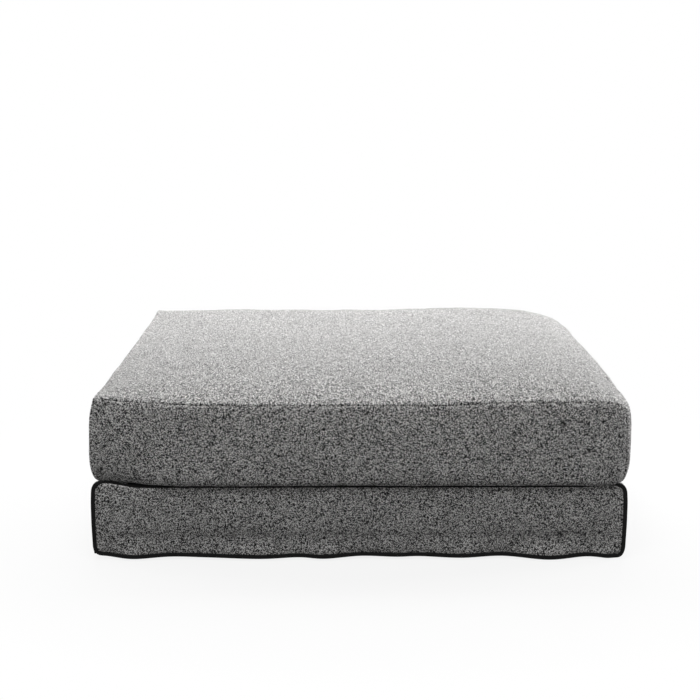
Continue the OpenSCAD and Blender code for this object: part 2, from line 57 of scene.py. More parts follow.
Socket = bpy.types.NodeSocket
Triple = tuple[float, float, float]
Array = np.ndarray


class Seed(IntEnum):
    """Seeds of the random draws. Pieces that repeat add the number of their side or axis."""

    TOP_SIDES = 3
    BOTTOM = 5
    DECK = 7
    TOP_ENDS = 9
    SCATTER = 11
    TOP_CLOTH = 21
    BOXING_TOP = 31
    BOXING_BOTTOM = 41
    BOXING_ENDS = 51
    BOXING_CLOTH = 61
    BACK_SEAM = 71
    BACK_ENDS = 81
    BACK_CLOTH = 91
    HEM = 100
    FACE = 130
    CAGE = 300


# Node trees


class Net:
    """A node tree that is filled with short calls."""

    def __init__(self, tree: bpy.types.NodeTree) -> None:
        """Takes over a tree and empties it.

        Args:
            tree: the tree to fill.
        """
        self.tree = tree
        tree.nodes.clear()

    def add(self, kind: str, *sources: object, **settings: object) -> Node:
        """Adds a node.

        Args:
            kind: the node's type.
            sources: what its inputs get, in order: a socket, a node, a number or a tuple; None leaves an input alone.
            settings: the node's own properties.

        Returns:
            The new node.
        """
        node = self.tree.nodes.new(kind)
        for name, value in settings.items():
            setattr(node, name, value)
        for place, source in enumerate(sources):
            self.feed(node.inputs[place], source)
        return node

    def feed(self, socket: Socket, source: object) -> None:
        """Links a socket to a source, or sets its value.

        Args:
            socket: the input.
            source: a socket, a node, a number, a tuple or None.
        """
        if source is None:
            return
        if isinstance(source, Node):
            source = next(s for s in source.outputs if s.enabled)
        if isinstance(source, Socket):
            self.tree.links.new(source, socket)
        else:
            socket.default_value = source

    def maths(self, operation: str, *sources: object) -> Node:
        """Adds a Math node with its operation and inputs, and returns it."""
        return self.add("ShaderNodeMath", *sources, operation=operation)

    def spread(self, source: object, low: float, high: float, start: float = 0.0, end: float = 1.0) -> Node:
        """Adds a Map Range node that takes low..high to start..end, clamped, and returns it."""
        return self.add("ShaderNodeMapRange", source, low, high, start, end)

    def ramp(self, source: object, *stops: tuple[float, Triple]) -> Node:
        """Adds a colour ramp.

        Args:
            source: the value.
            stops: places and colours.

        Returns:
            The Color Ramp node.
        """
        node = self.add("ShaderNodeValToRGB", source)
        elements = node.color_ramp.elements
        while len(elements) < len(stops):
            elements.new(0.5)
        for element, (place, colour) in zip(elements, stops):
            element.position = place
            element.color = (*colour, 1.0)
        return node


class Place(Enum):
    """Where a finish reads its pattern."""

    OBJECT = "Object"
    CLOTH = "UV"


class Paint(Net):
    """A material's tree, with the coordinates that its pattern reads and its Principled shader."""

    def __init__(self, material: bpy.types.Material, place: Place) -> None:
        """Empties the material's tree, and adds the coordinates and the shader.

        Args:
            material: the material.
            place: where its pattern is read.
        """
        material.use_nodes = True
        super().__init__(material.node_tree)
        self.where = self.add("ShaderNodeTexCoord").outputs[place.value]
        self.shader = self.add("ShaderNodeBsdfPrincipled")

    def give(self, name: str, source: object) -> None:
        """Feeds one of the shader's inputs."""
        self.feed(self.shader.inputs[name], source)

    def noise(self, stretch: Sequence[float], detail: float = 2.0, rough: float = 0.5) -> Node:
        """Adds noise over the stretched coordinates.

        Args:
            stretch: features per metre along each axis.
            detail: the noise's detail.
            rough: the noise's roughness.

        Returns:
            The Noise Texture node, whose first output is its value.
        """
        place = self.add("ShaderNodeVectorMath", self.where, stretch, operation="MULTIPLY")
        node = self.add("ShaderNodeTexNoise", place)
        for name, value in (("Scale", 1.0), ("Detail", detail), ("Roughness", rough)):
            node.inputs[name].default_value = value
        return node

    def bump(self, height: object, depth: float) -> None:
        """Gives the shader a bump.

        Args:
            height: the height, from 0 to 1.
            depth: the depth of the pattern, in metres.
        """
        node = self.add("ShaderNodeBump")
        for name, source in (("Strength", 1.0), ("Distance", depth), ("Height", height)):
            self.feed(node.inputs[name], source)
        self.give("Normal", node)


def grey(value: float, warmth: float = 0.0) -> Triple:
    """A grey of an sRGB lightness from 0 to 255 as linear colour; warmth adds red and takes blue away."""
    linear = ((value / 255 + 0.055) / 1.055) ** 2.4
    return (linear * (1 + warmth), linear, linear * (1 - warmth))


@dataclass(frozen=True)
class Finish:
    """A procedural finish. Each kind has its own pattern."""

    name: str
    place: Place = Place.OBJECT
    rough: float = 0.8

    def make(self) -> bpy.types.Material:
        """Builds the material, or finds it if it is made already.

        Returns:
            The material.
        """
        material = bpy.data.materials.get(self.name)
        if not material:
            material = bpy.data.materials.new(self.name)
            net = Paint(material, self.place)
            net.give("Roughness", self.rough)
            self.pattern(net)
            net.add("ShaderNodeOutputMaterial", net.shader)
        return material

    def pattern(self, net: Paint) -> None:
        """Gives the shader its colour, roughness and bump.

        Args:
            net: the material's tree.
        """
        raise NotImplementedError


@dataclass(frozen=True)
class Tweed(Finish):
    """Salt-and-pepper tweed with long slubs. It reads UV in metres: U runs along the slubs."""

    place: Place = Place.CLOTH
    rough: float = 0.92
    dark: Triple = grey(20, 0.015)
    dusk: Triple = grey(70, 0.015)
    middle: Triple = grey(182, 0.015)
    light: Triple = grey(252, 0.015)
    yarn: float = 1.65 * MM
    slub: float = 26 * MM
    fleck_share: float = 0.88
    slub_share: float = 0.42
    cloud_share: float = 0.06
    sheen: float = 0.4
    depth: float = 0.65 * MM

    def pattern(self, net: Paint) -> None:
        """Mixes dark and light yarns as flecks, slubs and soft clouds over a plain weave.

        Args:
            net: the material's tree.
        """
        bent = net.noise((0.35 / self.yarn,) * 3, 1.0)
        place = net.add("ShaderNodeVectorMath", net.where, (1 / self.yarn, 1 / self.yarn, 0), operation="MULTIPLY")
        shift = net.add("ShaderNodeVectorMath", bent.outputs["Color"], (0.5, 0.5, 0), place, operation="MULTIPLY_ADD")
        nub = net.add("ShaderNodeTexVoronoi", voronoi_dimensions="2D")
        net.feed(nub.inputs["Vector"], shift)
        nub.inputs["Scale"].default_value = 1.0
        random = net.add("ShaderNodeSeparateColor", nub.outputs["Color"])
        slub = net.noise((1 / self.slub, 0.6 / self.yarn, 0), 1.0)
        cloud = net.noise((9, 5, 0))
        mixed = net.maths("MULTIPLY_ADD", slub, self.slub_share, net.maths("MULTIPLY", random, self.fleck_share))
        mixed = net.maths("MULTIPLY_ADD", cloud, self.cloud_share, mixed)
        colour = net.ramp(net.spread(mixed, 0.20, 1.16), (0.20, self.dark), (0.40, self.dusk),
            (0.56, self.middle), (0.72, self.light))
        net.give("Base Color", colour)
        round_nub = net.maths("SUBTRACT", 1.0, net.maths("POWER", nub.outputs["Distance"], 2.0))
        fuzz = net.noise((3 / self.yarn,) * 3, 2.0, 0.6)
        relief = net.maths("MULTIPLY_ADD", fuzz, 0.5, net.maths("MULTIPLY_ADD", mixed, 0.3, round_nub))
        net.bump(relief, self.depth)
        net.give("Sheen Weight", self.sheen)
        net.give("Sheen Roughness", 0.45)
        net.give("Specular IOR Level", 0.25)


@dataclass(frozen=True)
class Grosgrain(Finish):
    """Matte ribbed tape. It reads UV in metres: U runs along the tape, and the ribs across it."""

    place: Place = Place.CLOTH
    rough: float = 0.85
    colour: Triple = grey(7)
    # lighter grey painted on the ribs' crowns: a painted highlight
    wear_and_highlight: Triple = grey(19)
    rib: float = 1.5 * MM
    depth: float = 0.35 * MM

    def pattern(self, net: Paint) -> None:
        """Raises ribs across the tape and paints their crowns lighter, as a painted highlight.

        Args:
            net: the material's tree.
        """
        along = net.add("ShaderNodeSeparateXYZ", net.where).outputs[0]
        wave = net.maths("SINE", net.maths("MULTIPLY", along, 2 * np.pi / self.rib))
        fuzz = net.noise((900, 2600, 0))
        height = net.maths("MULTIPLY_ADD", fuzz, 0.5, net.maths("MULTIPLY", wave, 0.5))
        # painted highlight: the higher the rib, the lighter its colour
        colour = net.ramp(net.spread(height, -0.2, 0.8), (0.0, self.colour), (1.0, self.wear_and_highlight))
        net.give("Base Color", colour)
        net.bump(height, self.depth)
        net.give("Sheen Weight", 0.03)
        net.give("Specular IOR Level", 0.2)


@dataclass(frozen=True)
class Woven(Finish):
    """Plain woven tape or cloth on object coordinates, in two yarn tones."""

    rough: float = 0.85
    colour: Triple = grey(40)
    second: Triple = grey(60)
    yarn: float = 1.2 * MM
    depth: float = 0.3 * MM

    def pattern(self, net: Paint) -> None:
        """Crosses two sets of yarns, with uneven tone.

        Args:
            net: the material's tree.
        """
        threads = net.add("ShaderNodeVectorMath", net.where, (np.pi / self.yarn,) * 3, operation="MULTIPLY")
        parts = net.add("ShaderNodeSeparateXYZ", net.add("ShaderNodeVectorMath", threads, operation="SINE"))
        weave = net.maths("MULTIPLY", parts.outputs[0], net.maths("ADD", parts.outputs[1], parts.outputs[2]))
        fuzz = net.noise((700, 700, 700))
        height = net.maths("MULTIPLY_ADD", weave, 0.3, fuzz)
        colour = net.ramp(net.spread(height, 0.2, 0.85), (0.0, self.colour), (1.0, self.second))
        net.give("Base Color", colour)
        net.bump(height, self.depth)
        net.give("Specular IOR Level", 0.25)


@dataclass(frozen=True)
class Wood(Finish):
    """Planed softwood with grain along one axis."""

    rough: float = 0.6
    pale: Triple = (0.62, 0.44, 0.26)
    ring: Triple = (0.42, 0.26, 0.13)
    along: Triple = (2.0, 60.0, 60.0)

    def pattern(self, net: Paint) -> None:
        """Draws grain lines and pores along the board.

        Args:
            net: the material's tree.
        """
        grain = net.noise(self.along, 4.0, 0.6)
        lines = net.maths("SINE", net.maths("MULTIPLY", grain, 38.0))
        pores = net.noise(tuple(9 * a for a in self.along))
        tone = net.maths("MULTIPLY_ADD", lines, 0.28, pores)
        colour = net.ramp(net.spread(tone, 0.15, 0.9), (0.0, self.ring), (0.7, self.pale))
        net.give("Base Color", colour)
        net.give("Roughness", net.spread(pores, 0.2, 0.8, self.rough - 0.12, self.rough + 0.15))
        net.bump(tone, 0.25 * MM)


@dataclass(frozen=True)
class Foam(Finish):
    """Cut foam or lofted fibre: one tone with open cells."""

    rough: float = 0.95
    colour: Triple = (0.72, 0.66, 0.45)
    cell: float = 1.6 * MM
    depth: float = 0.6 * MM

    def pattern(self, net: Paint) -> None:
        """Opens small cells in a soft, cloudy tone.

        Args:
            net: the material's tree.
        """
        cells = net.noise((1 / self.cell,) * 3, 3.0, 0.7)
        cloud = net.noise((14, 14, 14))
        shade = tuple(0.72 * c for c in self.colour)
        tone = net.maths("MULTIPLY_ADD", cloud, 0.4, net.maths("MULTIPLY", cells, 0.6))
        colour = net.ramp(net.spread(tone, 0.3, 0.65), (0.0, shade), (1.0, self.colour))
        net.give("Base Color", colour)
        net.bump(cells, self.depth)
        net.give("Sheen Weight", 0.1)
        net.give("Specular IOR Level", 0.2)


@dataclass(frozen=True)
class Metal(Finish):
    """Plated steel or zinc with fine scratches and dull spots."""

    rough: float = 0.32
    colour: Triple = (0.56, 0.56, 0.57)

    def pattern(self, net: Paint) -> None:
        """Varies the gloss with dull spots and fine scratches.

        Args:
            net: the material's tree.
        """
        spots = net.noise((260, 260, 260), 3.0, 0.6)
        scratches = net.noise((90, 2400, 2400))
        dull = tuple(0.7 * c for c in self.colour)
        net.give("Base Color", net.ramp(spots, (0.3, dull), (0.6, self.colour)))
        net.give("Roughness", net.spread(spots, 0.3, 0.7, self.rough + 0.18, self.rough - 0.06))
        net.bump(scratches, 0.03 * MM)
        net.give("Metallic", 1.0)


@dataclass(frozen=True)
class Plastic(Finish):
    """Moulded plastic with a fine spark-eroded grain."""

    rough: float = 0.5
    colour: Triple = grey(30)

    def pattern(self, net: Paint) -> None:
        """Adds the mould's grain and scuffs.

        Args:
            net: the material's tree.
        """
        grain = net.noise((1500, 1500, 1500))
        scuffs = net.noise((60, 60, 60), 4.0, 0.7)
        wear_and_highlight = tuple(1.8 * c for c in self.colour)
        net.give("Base Color", net.ramp(scuffs, (0.45, self.colour), (0.75, wear_and_highlight)))
        net.give("Roughness", net.spread(scuffs, 0.35, 0.7, self.rough, self.rough + 0.25))
        net.bump(grain, 0.06 * MM)


TWEED = Tweed("tweed_grey")
TRIM = Grosgrain("trim_black")
THREAD = Woven("thread_black", colour=grey(26), second=grey(44), yarn=0.5 * MM, depth=0.1 * MM)
LINING = Woven("lining_charcoal", colour=grey(44), second=grey(72), yarn=0.9 * MM)
WEBBING = Woven("webbing_black", colour=grey(34), second=grey(92), yarn=2.4 * MM, depth=0.5 * MM)
FELT = Woven("felt_grey", colour=grey(96), second=grey(140), yarn=3.0 * MM, depth=0.4 * MM)
HOOKS = Woven("hook_black", colour=grey(20), second=grey(58), yarn=1.6 * MM, depth=0.8 * MM)
LOOPS = Woven("loop_charcoal", colour=grey(40), second=grey(82), yarn=1.1 * MM, depth=0.6 * MM)
ZIP_CLOTH = Woven("zip_cloth_charcoal", colour=grey(48), second=grey(74), yarn=0.8 * MM)
COIL = Plastic("zip_coil_charcoal", rough=0.4, colour=grey(52))
FOAM = Foam("foam_cream")
FIBRE = Foam("fibre_white", colour=(0.8, 0.8, 0.79), cell=5 * MM, depth=2 * MM)
WOOD_X = Wood("timber_along_x")
WOOD_Y = Wood("timber_along_y", along=(60.0, 2.0, 60.0))
WOOD_Z = Wood("timber_upright", along=(60.0, 60.0, 2.0))
STEEL = Metal("steel_plated")
ZIP_METAL = Metal("zip_metal_dark", rough=0.28, colour=(0.30, 0.30, 0.31))
GLIDE = Plastic("glide_black")


# Helpers for objects and meshes


def add_object(name: str, data: bpy.types.ID) -> Object:
    """Makes an object of a mesh, a light or a camera, and links it to the scene.

    Args:
        name: its name.
        data: what it shows.

    Returns:
        The object.
    """
    made = bpy.data.objects.new(name, data)
    bpy.context.scene.collection.objects.link(made)
    return made


def bake(made: Object) -> bpy.types.Mesh:
    """Applies an object's modifiers.

    Args:
        made: the object, which loses them.

    Returns:
        The plain mesh that they give.
    """
    graph = bpy.context.evaluated_depsgraph_get()
    mesh = bpy.data.meshes.new_from_object(made.evaluated_get(graph), depsgraph=graph)
    made.modifiers.clear()
    return mesh


def dress(piece: Object, body: str, node: str | None = None) -> Object:
    """Lets a piece ride on a body, in place of a node.

    Args:
        piece: the piece.
        body: the body that it moves with.
        node: the node that it replaces, or None.

    Returns:
        The piece.
    """
    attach(piece, body)
    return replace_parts(piece, node) if node else piece


def even(count: int) -> Array:
    """Evenly spaced stations from -1 to 1, one more than the number of steps."""
    return np.linspace(-1, 1, count + 1)


def stations(half: float, step: float, rim: Sequence[float]) -> Array:
    """Stations across a panel, close together at its two rims.

    Args:
        half: half of the panel's width.
        step: the spacing inside the rims.
        rim: distances of the rim's stations from the edge, from 0 upwards.

    Returns:
        Shares from -1 to 1.
    """
    inner = half - rim[-1]
    inside = inner * even(max(2, round(2 * inner / step)))
    edge = half - np.array(rim[:-1])
    return np.concatenate([-edge, inside, edge[::-1]]) / half


def swell(x: Array, y: Array, length: float, seed: int) -> Array:
    """A smooth random field made of plane waves.

    Args:
        x: first coordinate.
        y: second coordinate.
        length: the typical wavelength.
        seed: seed of the waves' directions and phases.

    Returns:
        Values of about -1 to 1.
    """
    rng = np.random.default_rng(seed)
    total = np.zeros(np.broadcast(x, y).shape)
    for _ in range(SWELL_WAVES):
        turn, phase, stretch = rng.uniform(0, 2 * np.pi), rng.uniform(0, 2 * np.pi), rng.uniform(0.7, 1.5)
        k = 2 * np.pi / (length * stretch)
        total = total + np.sin(k * (x * np.cos(turn) + y * np.sin(turn)) + phase)
    return total / np.sqrt(SWELL_WAVES / 2) / 1.6


def smooth(value: Array, low: float, high: float) -> Array:
    """A smooth step from 0 at low to 1 at high."""
    share = np.clip((value - low) / (high - low), 0, 1)
    return share * share * (3 - 2 * share)


def fade(distance: Array, reach: float) -> Array:
    """Falls off from 1 at no distance to 1/e at the reach."""
    return np.exp(-np.maximum(distance, 0) / reach)


def distances(line: Array) -> Array:
    """Distance of each point of a line from its first, along the line."""
    return np.concatenate([[0], np.cumsum(np.linalg.norm(np.diff(line, axis=0), axis=1))])


def walk(line: Array, places: Array) -> Array:
    """Points at given distances along a line."""
    return np.stack([np.interp(places, distances(line), values) for values in line.T], 1)


def curve_through(points: Sequence[Sequence[float]], count: int) -> Array:
    """A smooth line through points, cut into stations of even length.

    Args:
        points: the points that it runs through.
        count: the number of stations.

    Returns:
        count points.
    """
    p = np.array(points, float)
    p = np.vstack([2 * p[0] - p[1], p, 2 * p[-1] - p[-2]])
    fine = []
    for k in range(1, len(p) - 2):
        t = np.linspace(0, 1, 24, endpoint=False)[:, None]
        a, b, c, d = p[k - 1:k + 3]
        fine.append(0.5 * (2 * b + (c - a) * t + (2 * a - 5 * b + 4 * c - d) * t**2 + (3 * b - a - 3 * c + d) * t**3))
    line = np.vstack([*fine, p[-2:-1]])
    return walk(line, (even(count - 1) + 1) / 2 * distances(line)[-1])


def spline(count: int, share: Array) -> Array:
    """Weights of a smooth cubic line over even stations, which meets the first and the last of them.

    Args:
        count: the number of stations.
        share: where the line is read, from -1 to 1.

    Returns:
        One row of weights for each place.
    """
    at = (np.clip(share, -1, 1) + 1) / 2 * (count - 1)
    base = np.minimum(at.astype(int), count - 2)
    t = at - base
    parts = ((1 - t) ** 3, 3 * t**3 - 6 * t**2 + 4, -3 * t**3 + 3 * t**2 + 3 * t + 1, t**3)
    wide = np.zeros((len(at), count + 2))
    for k, part in enumerate(parts):
        wide[np.arange(len(at)), base + k] += part / 6
    weights = wide[:, 1:-1]
    weights[:, 0] += 2 * wide[:, 0]
    weights[:, 1] -= wide[:, 0]
    weights[:, -1] += 2 * wide[:, -1]
    weights[:, -2] -= wide[:, -1]
    return weights


def normals(points: Array) -> Array:
    """Unit normals of a grid of rows x columns x 3 points."""
    n = np.cross(np.gradient(points, axis=1), np.gradient(points, axis=0))
    return n / np.maximum(np.linalg.norm(n, axis=2, keepdims=True), 1e-12)


def grid_faces(rows: int, columns: int, skip: int = 0, ring: bool = False) -> Array:
    """Quads of a grid.

    Args:
        rows: rows of points.
        columns: columns of points.
        skip: index of its first point.
        ring: whether the columns close into a ring.

    Returns:
        Faces x 4 indices.
    """
    r, c = np.meshgrid(np.arange(rows - 1), np.arange(columns if ring else columns - 1), indexing="ij")
    nxt = (c + 1) % columns
    quads = np.stack([r * columns + c, r * columns + nxt, (r + 1) * columns + nxt, (r + 1) * columns + c], 2)
    return quads.reshape(-1, 4) + skip


def make_object(name: str, points: Array, faces: Sequence[Sequence[int]], finish: Finish,
                weave: Array | None = None) -> Object:
    """Makes a smooth mesh object with a finish and its faces turned outwards.

    Args:
        name: the piece's name.
        points: its points.
        faces: its faces.
        finish: its finish.
        weave: the UV of each point, in metres, or None.

    Returns:
        The object, linked to the scene.
    """
    mesh = bpy.data.meshes.new(name)
    mesh.from_pydata(np.asarray(points).tolist(), [], faces)
    work = bmesh.new()
    work.from_mesh(mesh)
    bmesh.ops.recalc_face_normals(work, faces=work.faces)
    work.to_mesh(mesh)
    work.free()
    if weave is not None:
        layer = mesh.uv_layers.new(name="weave")
        index = np.zeros(len(mesh.loops), np.int32)
        mesh.loops.foreach_get("vertex_index", index)
        layer.data.foreach_set("uv", weave[index].astype(np.float32).ravel())
    mesh.polygons.foreach_set("use_smooth", np.ones(len(mesh.polygons), bool))
    mesh.materials.append(finish.make())
    mesh.update()
    return add_object(name, mesh)


def layered(name: str, outer: Array, weave: Array, finish: Finish, thick: float = 2 * MM,
            inwards: Array | None = None, inner: Array | None = None) -> Object:
    """Cloth of even thickness under a grid of points, or a soft slab between two grids, with closed edges.

    Args:
        name: the piece's name.
        outer: rows x columns x 3 points of the outer face.
        weave: rows x columns x 2 UV in metres.
        finish: its finish.
        thick: the cloth's thickness.
        inwards: directions from the outer to the inner face, or None for the normals.
        inner: points of the inner face, or None for an even thickness.

    Returns:
        The object.
    """
    rows, columns = outer.shape[:2]
    count = rows * columns
    if inner is None:
        inner = outer + thick * (-normals(outer) if inwards is None else inwards)
    points = np.concatenate([outer.reshape(-1, 3), inner.reshape(-1, 3)])
    index = np.arange(count).reshape(rows, columns)
    rim = np.concatenate([index[-1, :], index[-2:0:-1, -1], index[0, ::-1], index[1:-1, 0]])
    step = np.roll(rim, -1)
    quads = np.concatenate([grid_faces(rows, columns), grid_faces(rows, columns, count)[:, ::-1],
        np.stack([step, rim, rim + count, step + count], 1)])
    both = np.concatenate([weave.reshape(-1, 2)] * 2)
    return make_object(name, points, quads.tolist(), finish, both)


def lengths(points: Array) -> Array:
    """Distances down the columns of a grid, from its middle row."""
    run = np.pad(np.cumsum(np.linalg.norm(np.diff(points, axis=0), axis=2), axis=0), [(1, 0), (0, 0)])
    return run - run[len(run) // 2]


# Seat cushion


class Side(Enum):
    """The four sides, as quarter turns about Z that bring the front there."""

    FRONT = 0
    RIGHT = 1
    BACK = 2
    LEFT = 3

    @property
    def label(self) -> str:
        """The side's name as the nodes have it."""
        return self.name.lower()

    def turn(self, points: Array) -> Array:
        """Turns points from the front to this side.

        Args:
            points: any array whose last axis is X, Y, Z.

        Returns:
            The turned points.
        """
        x, y, z = np.moveaxis(points, -1, 0)
        turned = [(x, y), (-y, x), (-x, -y), (y, -x)][self.value]
        return np.stack([*turned, z], -1)

    def unturn(self, points: Array) -> Array:
        """Turns points from this side to the front."""
        return Side(-self.value % len(Side)).turn(points)


@dataclass
class CushionShape:
    """Form of the cushion's cover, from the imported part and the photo.

    A section of the boxing says, in millimetres, how far the cloth stands outside the top seam at each of the heights.
    """

    half: float = 595 * MM
    low: float = 172.3 * MM
    seam: float = 360.3 * MM
    crown: float = 44 * MM
    roll: float = 20 * MM
    cloth: float = 2 * MM
    tuck: float = 4.6 * MM
    groove: float = 1.9 * MM
    shifts: dict[str, Array] = field(default_factory=dict)
    heights: tuple[float, ...] = (172.3, 173.6, 177, 182, 190, 207, 226, 248, 274, 300, 319, 337, 351, 360.3)
    corner: tuple[float, ...] = (-18, -9, -3.6, -0.6, 1.8, 3.9, 4.9, 5, 4.8, 4.3, 3.4, 2.1, 0.9, 0)
    outs: dict[Side, tuple[float, ...]] = field(default_factory=lambda: {
        Side.FRONT: (-18, -9, -3, 1, 5, 9, 11, 11.5, 11, 9.8, 7.6, 4.6, 1.9, 0),
        Side.RIGHT: (-15, -7, -1, 4, 10.5, 17.5, 19, 20, 21.5, 22, 21.5, 19, 13, 1),
        Side.LEFT: (-14, -4, 2.4, 6, 10, 14, 14.6, 13, 10.6, 8, 4, 0.4, -1.6, -1)})
    hang: tuple[tuple[float, float], ...] = ((-20, 172.3), (-10, 172.3), (-2, 172.4), (4, 172.9), (8.4, 174.2),
        (11.2, 176.6), (13, 180.5), (14, 187), (14.4, 196), (14.2, 208), (13.6, 222), (12.6, 240), (11.4, 262),
        (9.8, 286), (7.8, 310), (5.4, 332), (2.6, 350), (0, 360.3))
    corner_pull: float = 3.2 * MM
    corner_reach: float = 7 * MM
    centre: float = 280 * MM
    zip_gap: float = 12 * MM
    zip_z: float = 266.3 * MM

    @staticmethod
    def section(line: Sequence[Sequence[float]], count: int) -> Array:
        """Section of the boxing from its bottom seam up, from its points in millimetres."""
        return curve_through(np.array(line) * MM, count)

    def boxing(self, side: Side, share: Array, count: int) -> Array:
        """Outer face of one side's boxing.

        Args:
            side: which side.
            share: stations along the side, from -1 to 1.
            count: the number of rows.

        Returns:
            rows x columns x 3 points.
        """
        corner = self.section([*zip(self.corner, self.heights)], count)
        full = self.section([*zip(self.outs.get(side, self.corner), self.heights)], count)
        rise = (1 - abs(share) ** 20)[None, :]
        out = corner[:, :1] * (1 - rise) + full[:, :1] * rise
        z = corner[:, 1:] * (1 - rise) + full[:, 1:] * rise
        if side is Side.FRONT:
            hang = (smooth(share, -0.93, -0.64) * (1 - smooth(share, 0.955, 0.995)))[None, :]
            over = self.section(self.hang, count)
            out = out * (1 - hang) + over[:, :1] * hang
            z = z * (1 - hang) + over[:, 1:] * hang
        pull = self.corner_pull * fade((1 - abs(share)) * self.half, self.corner_reach)
        out = out - pull[None, :]
        reach = self.half + corner[:, :1] - self.corner_pull
        points = side.turn(np.stack([share[None, :] * reach, -self.half - out, z], 2))
        moved = self.stuffed(side.name, even(count - 1), share)
        if side is Side.BACK:
            moved *= smooth(abs(points[..., 2:] - self.zip_z), 16 * MM, 44 * MM)
        return points + moved

    def top(self, u: Array, v: Array) -> Array:
        """Outer face of the top panel.

        Args:
            u: shares from left to right.
            v: shares from front to back.

        Returns:
            rows x columns x 3 points.
        """
        moved = self.stuffed("TOP", v, u)
        v, u = np.meshgrid(v, u, indexing="ij")
        fall = np.where(v < 0, 1 - abs(v) ** 3.2, 1 - abs(v) ** 7)
        high = self.crown * ((1 - abs(u) ** 6) * fall) ** 0.75
        near = [fade(1 - abs(w), self.corner_reach / self.half) for w in (u, v)]
        reach = self.half - self.corner_pull * (near[0] * abs(v) ** 60 + near[1] * abs(u) ** 60) / 2
        return np.stack([u * reach, v * reach, self.seam + high], 2) + moved

    def stuffed(self, face: str, rows: Array, columns: Array) -> Array:
        """How the simulated stuffing moves a face of the cover.

        Args:
            face: the face's name.
            rows: shares of its rows.
            columns: shares of its columns.

        Returns:
            rows x columns x 3 shifts.
        """
        shift = self.shifts.get(face)
        if shift is None:
            return np.zeros((len(rows), len(columns), 3))
        return np.einsum("ra,abk,cb->rck", spline(shift.shape[0], rows), shift, spline(shift.shape[1], columns))

    def settle(self, points: Array) -> Array:
        """Shifts points as the photographed cushion has settled: one front corner stands up, and the right side is
        fuller and droops at its corners.

        Args:
            points: points of the plain form.

        Returns:
            The shifted points.
        """
        x, y, z = np.moveaxis(points, -1, 0)
        rise = np.clip((z - self.low) / (self.seam - self.low), 0, 1) ** 1.3
        rise = np.where(y > 560 * MM, np.minimum(rise, smooth(z, 280 * MM, 358 * MM)), rise)
        left, right = x + self.half, self.half - x
        front, back = y + self.half, self.half - y
        near = fade(front, 170 * MM)
        lift = 16 * MM * fade(left, 95 * MM) * near  # the left front corner stands up
        lift += (7.0 * smooth(x, 170 * MM, 350 * MM) - 3.4 * smooth(x, -470 * MM, -330 * MM)) * MM * near
        lift += 8 * MM * smooth(x, 50 * MM, 330 * MM) * (1 - near) * smooth(back, -60 * MM, 200 * MM)
        lift += 13 * MM * fade(left, 80 * MM) * fade(back, 200 * MM)  # the far left corner, less
        lift += 7 * MM * fade(left, 80 * MM) * (1 - near)
        lift -= 13 * MM * fade(right, 20 * MM) * near  # the right corners droop
        lift -= 13 * MM * fade(np.hypot(np.maximum(right, 0), np.maximum(back, 0)), 75 * MM)
        full = np.exp(-(np.maximum(right, 0) / (150 * MM)) ** 2) * np.clip(1 - (y / self.half) ** 2, 0, 1)
        push = 4 * MM * full * smooth(z, 200 * MM, 330 * MM)  # the right side is fuller
        level = 1 - 0.9 * smooth(y, 585 * MM, 592 * MM) * (1 - smooth(z, 300 * MM, 350 * MM))  # the zip stays straight
        pinch = 5 * MM * fade(left, 50 * MM) * near * smooth(z, 320 * MM, 362 * MM)
        foot = 8 * MM * (1 - smooth(left, 40 * MM, 130 * MM)) * fade(front, 60 * MM)  # its lower edge stands up
        foot *= 1 - smooth(z, self.low, 265 * MM)
        return np.stack([x + push * level + pinch, y, z + lift * rise * level + foot], -1)


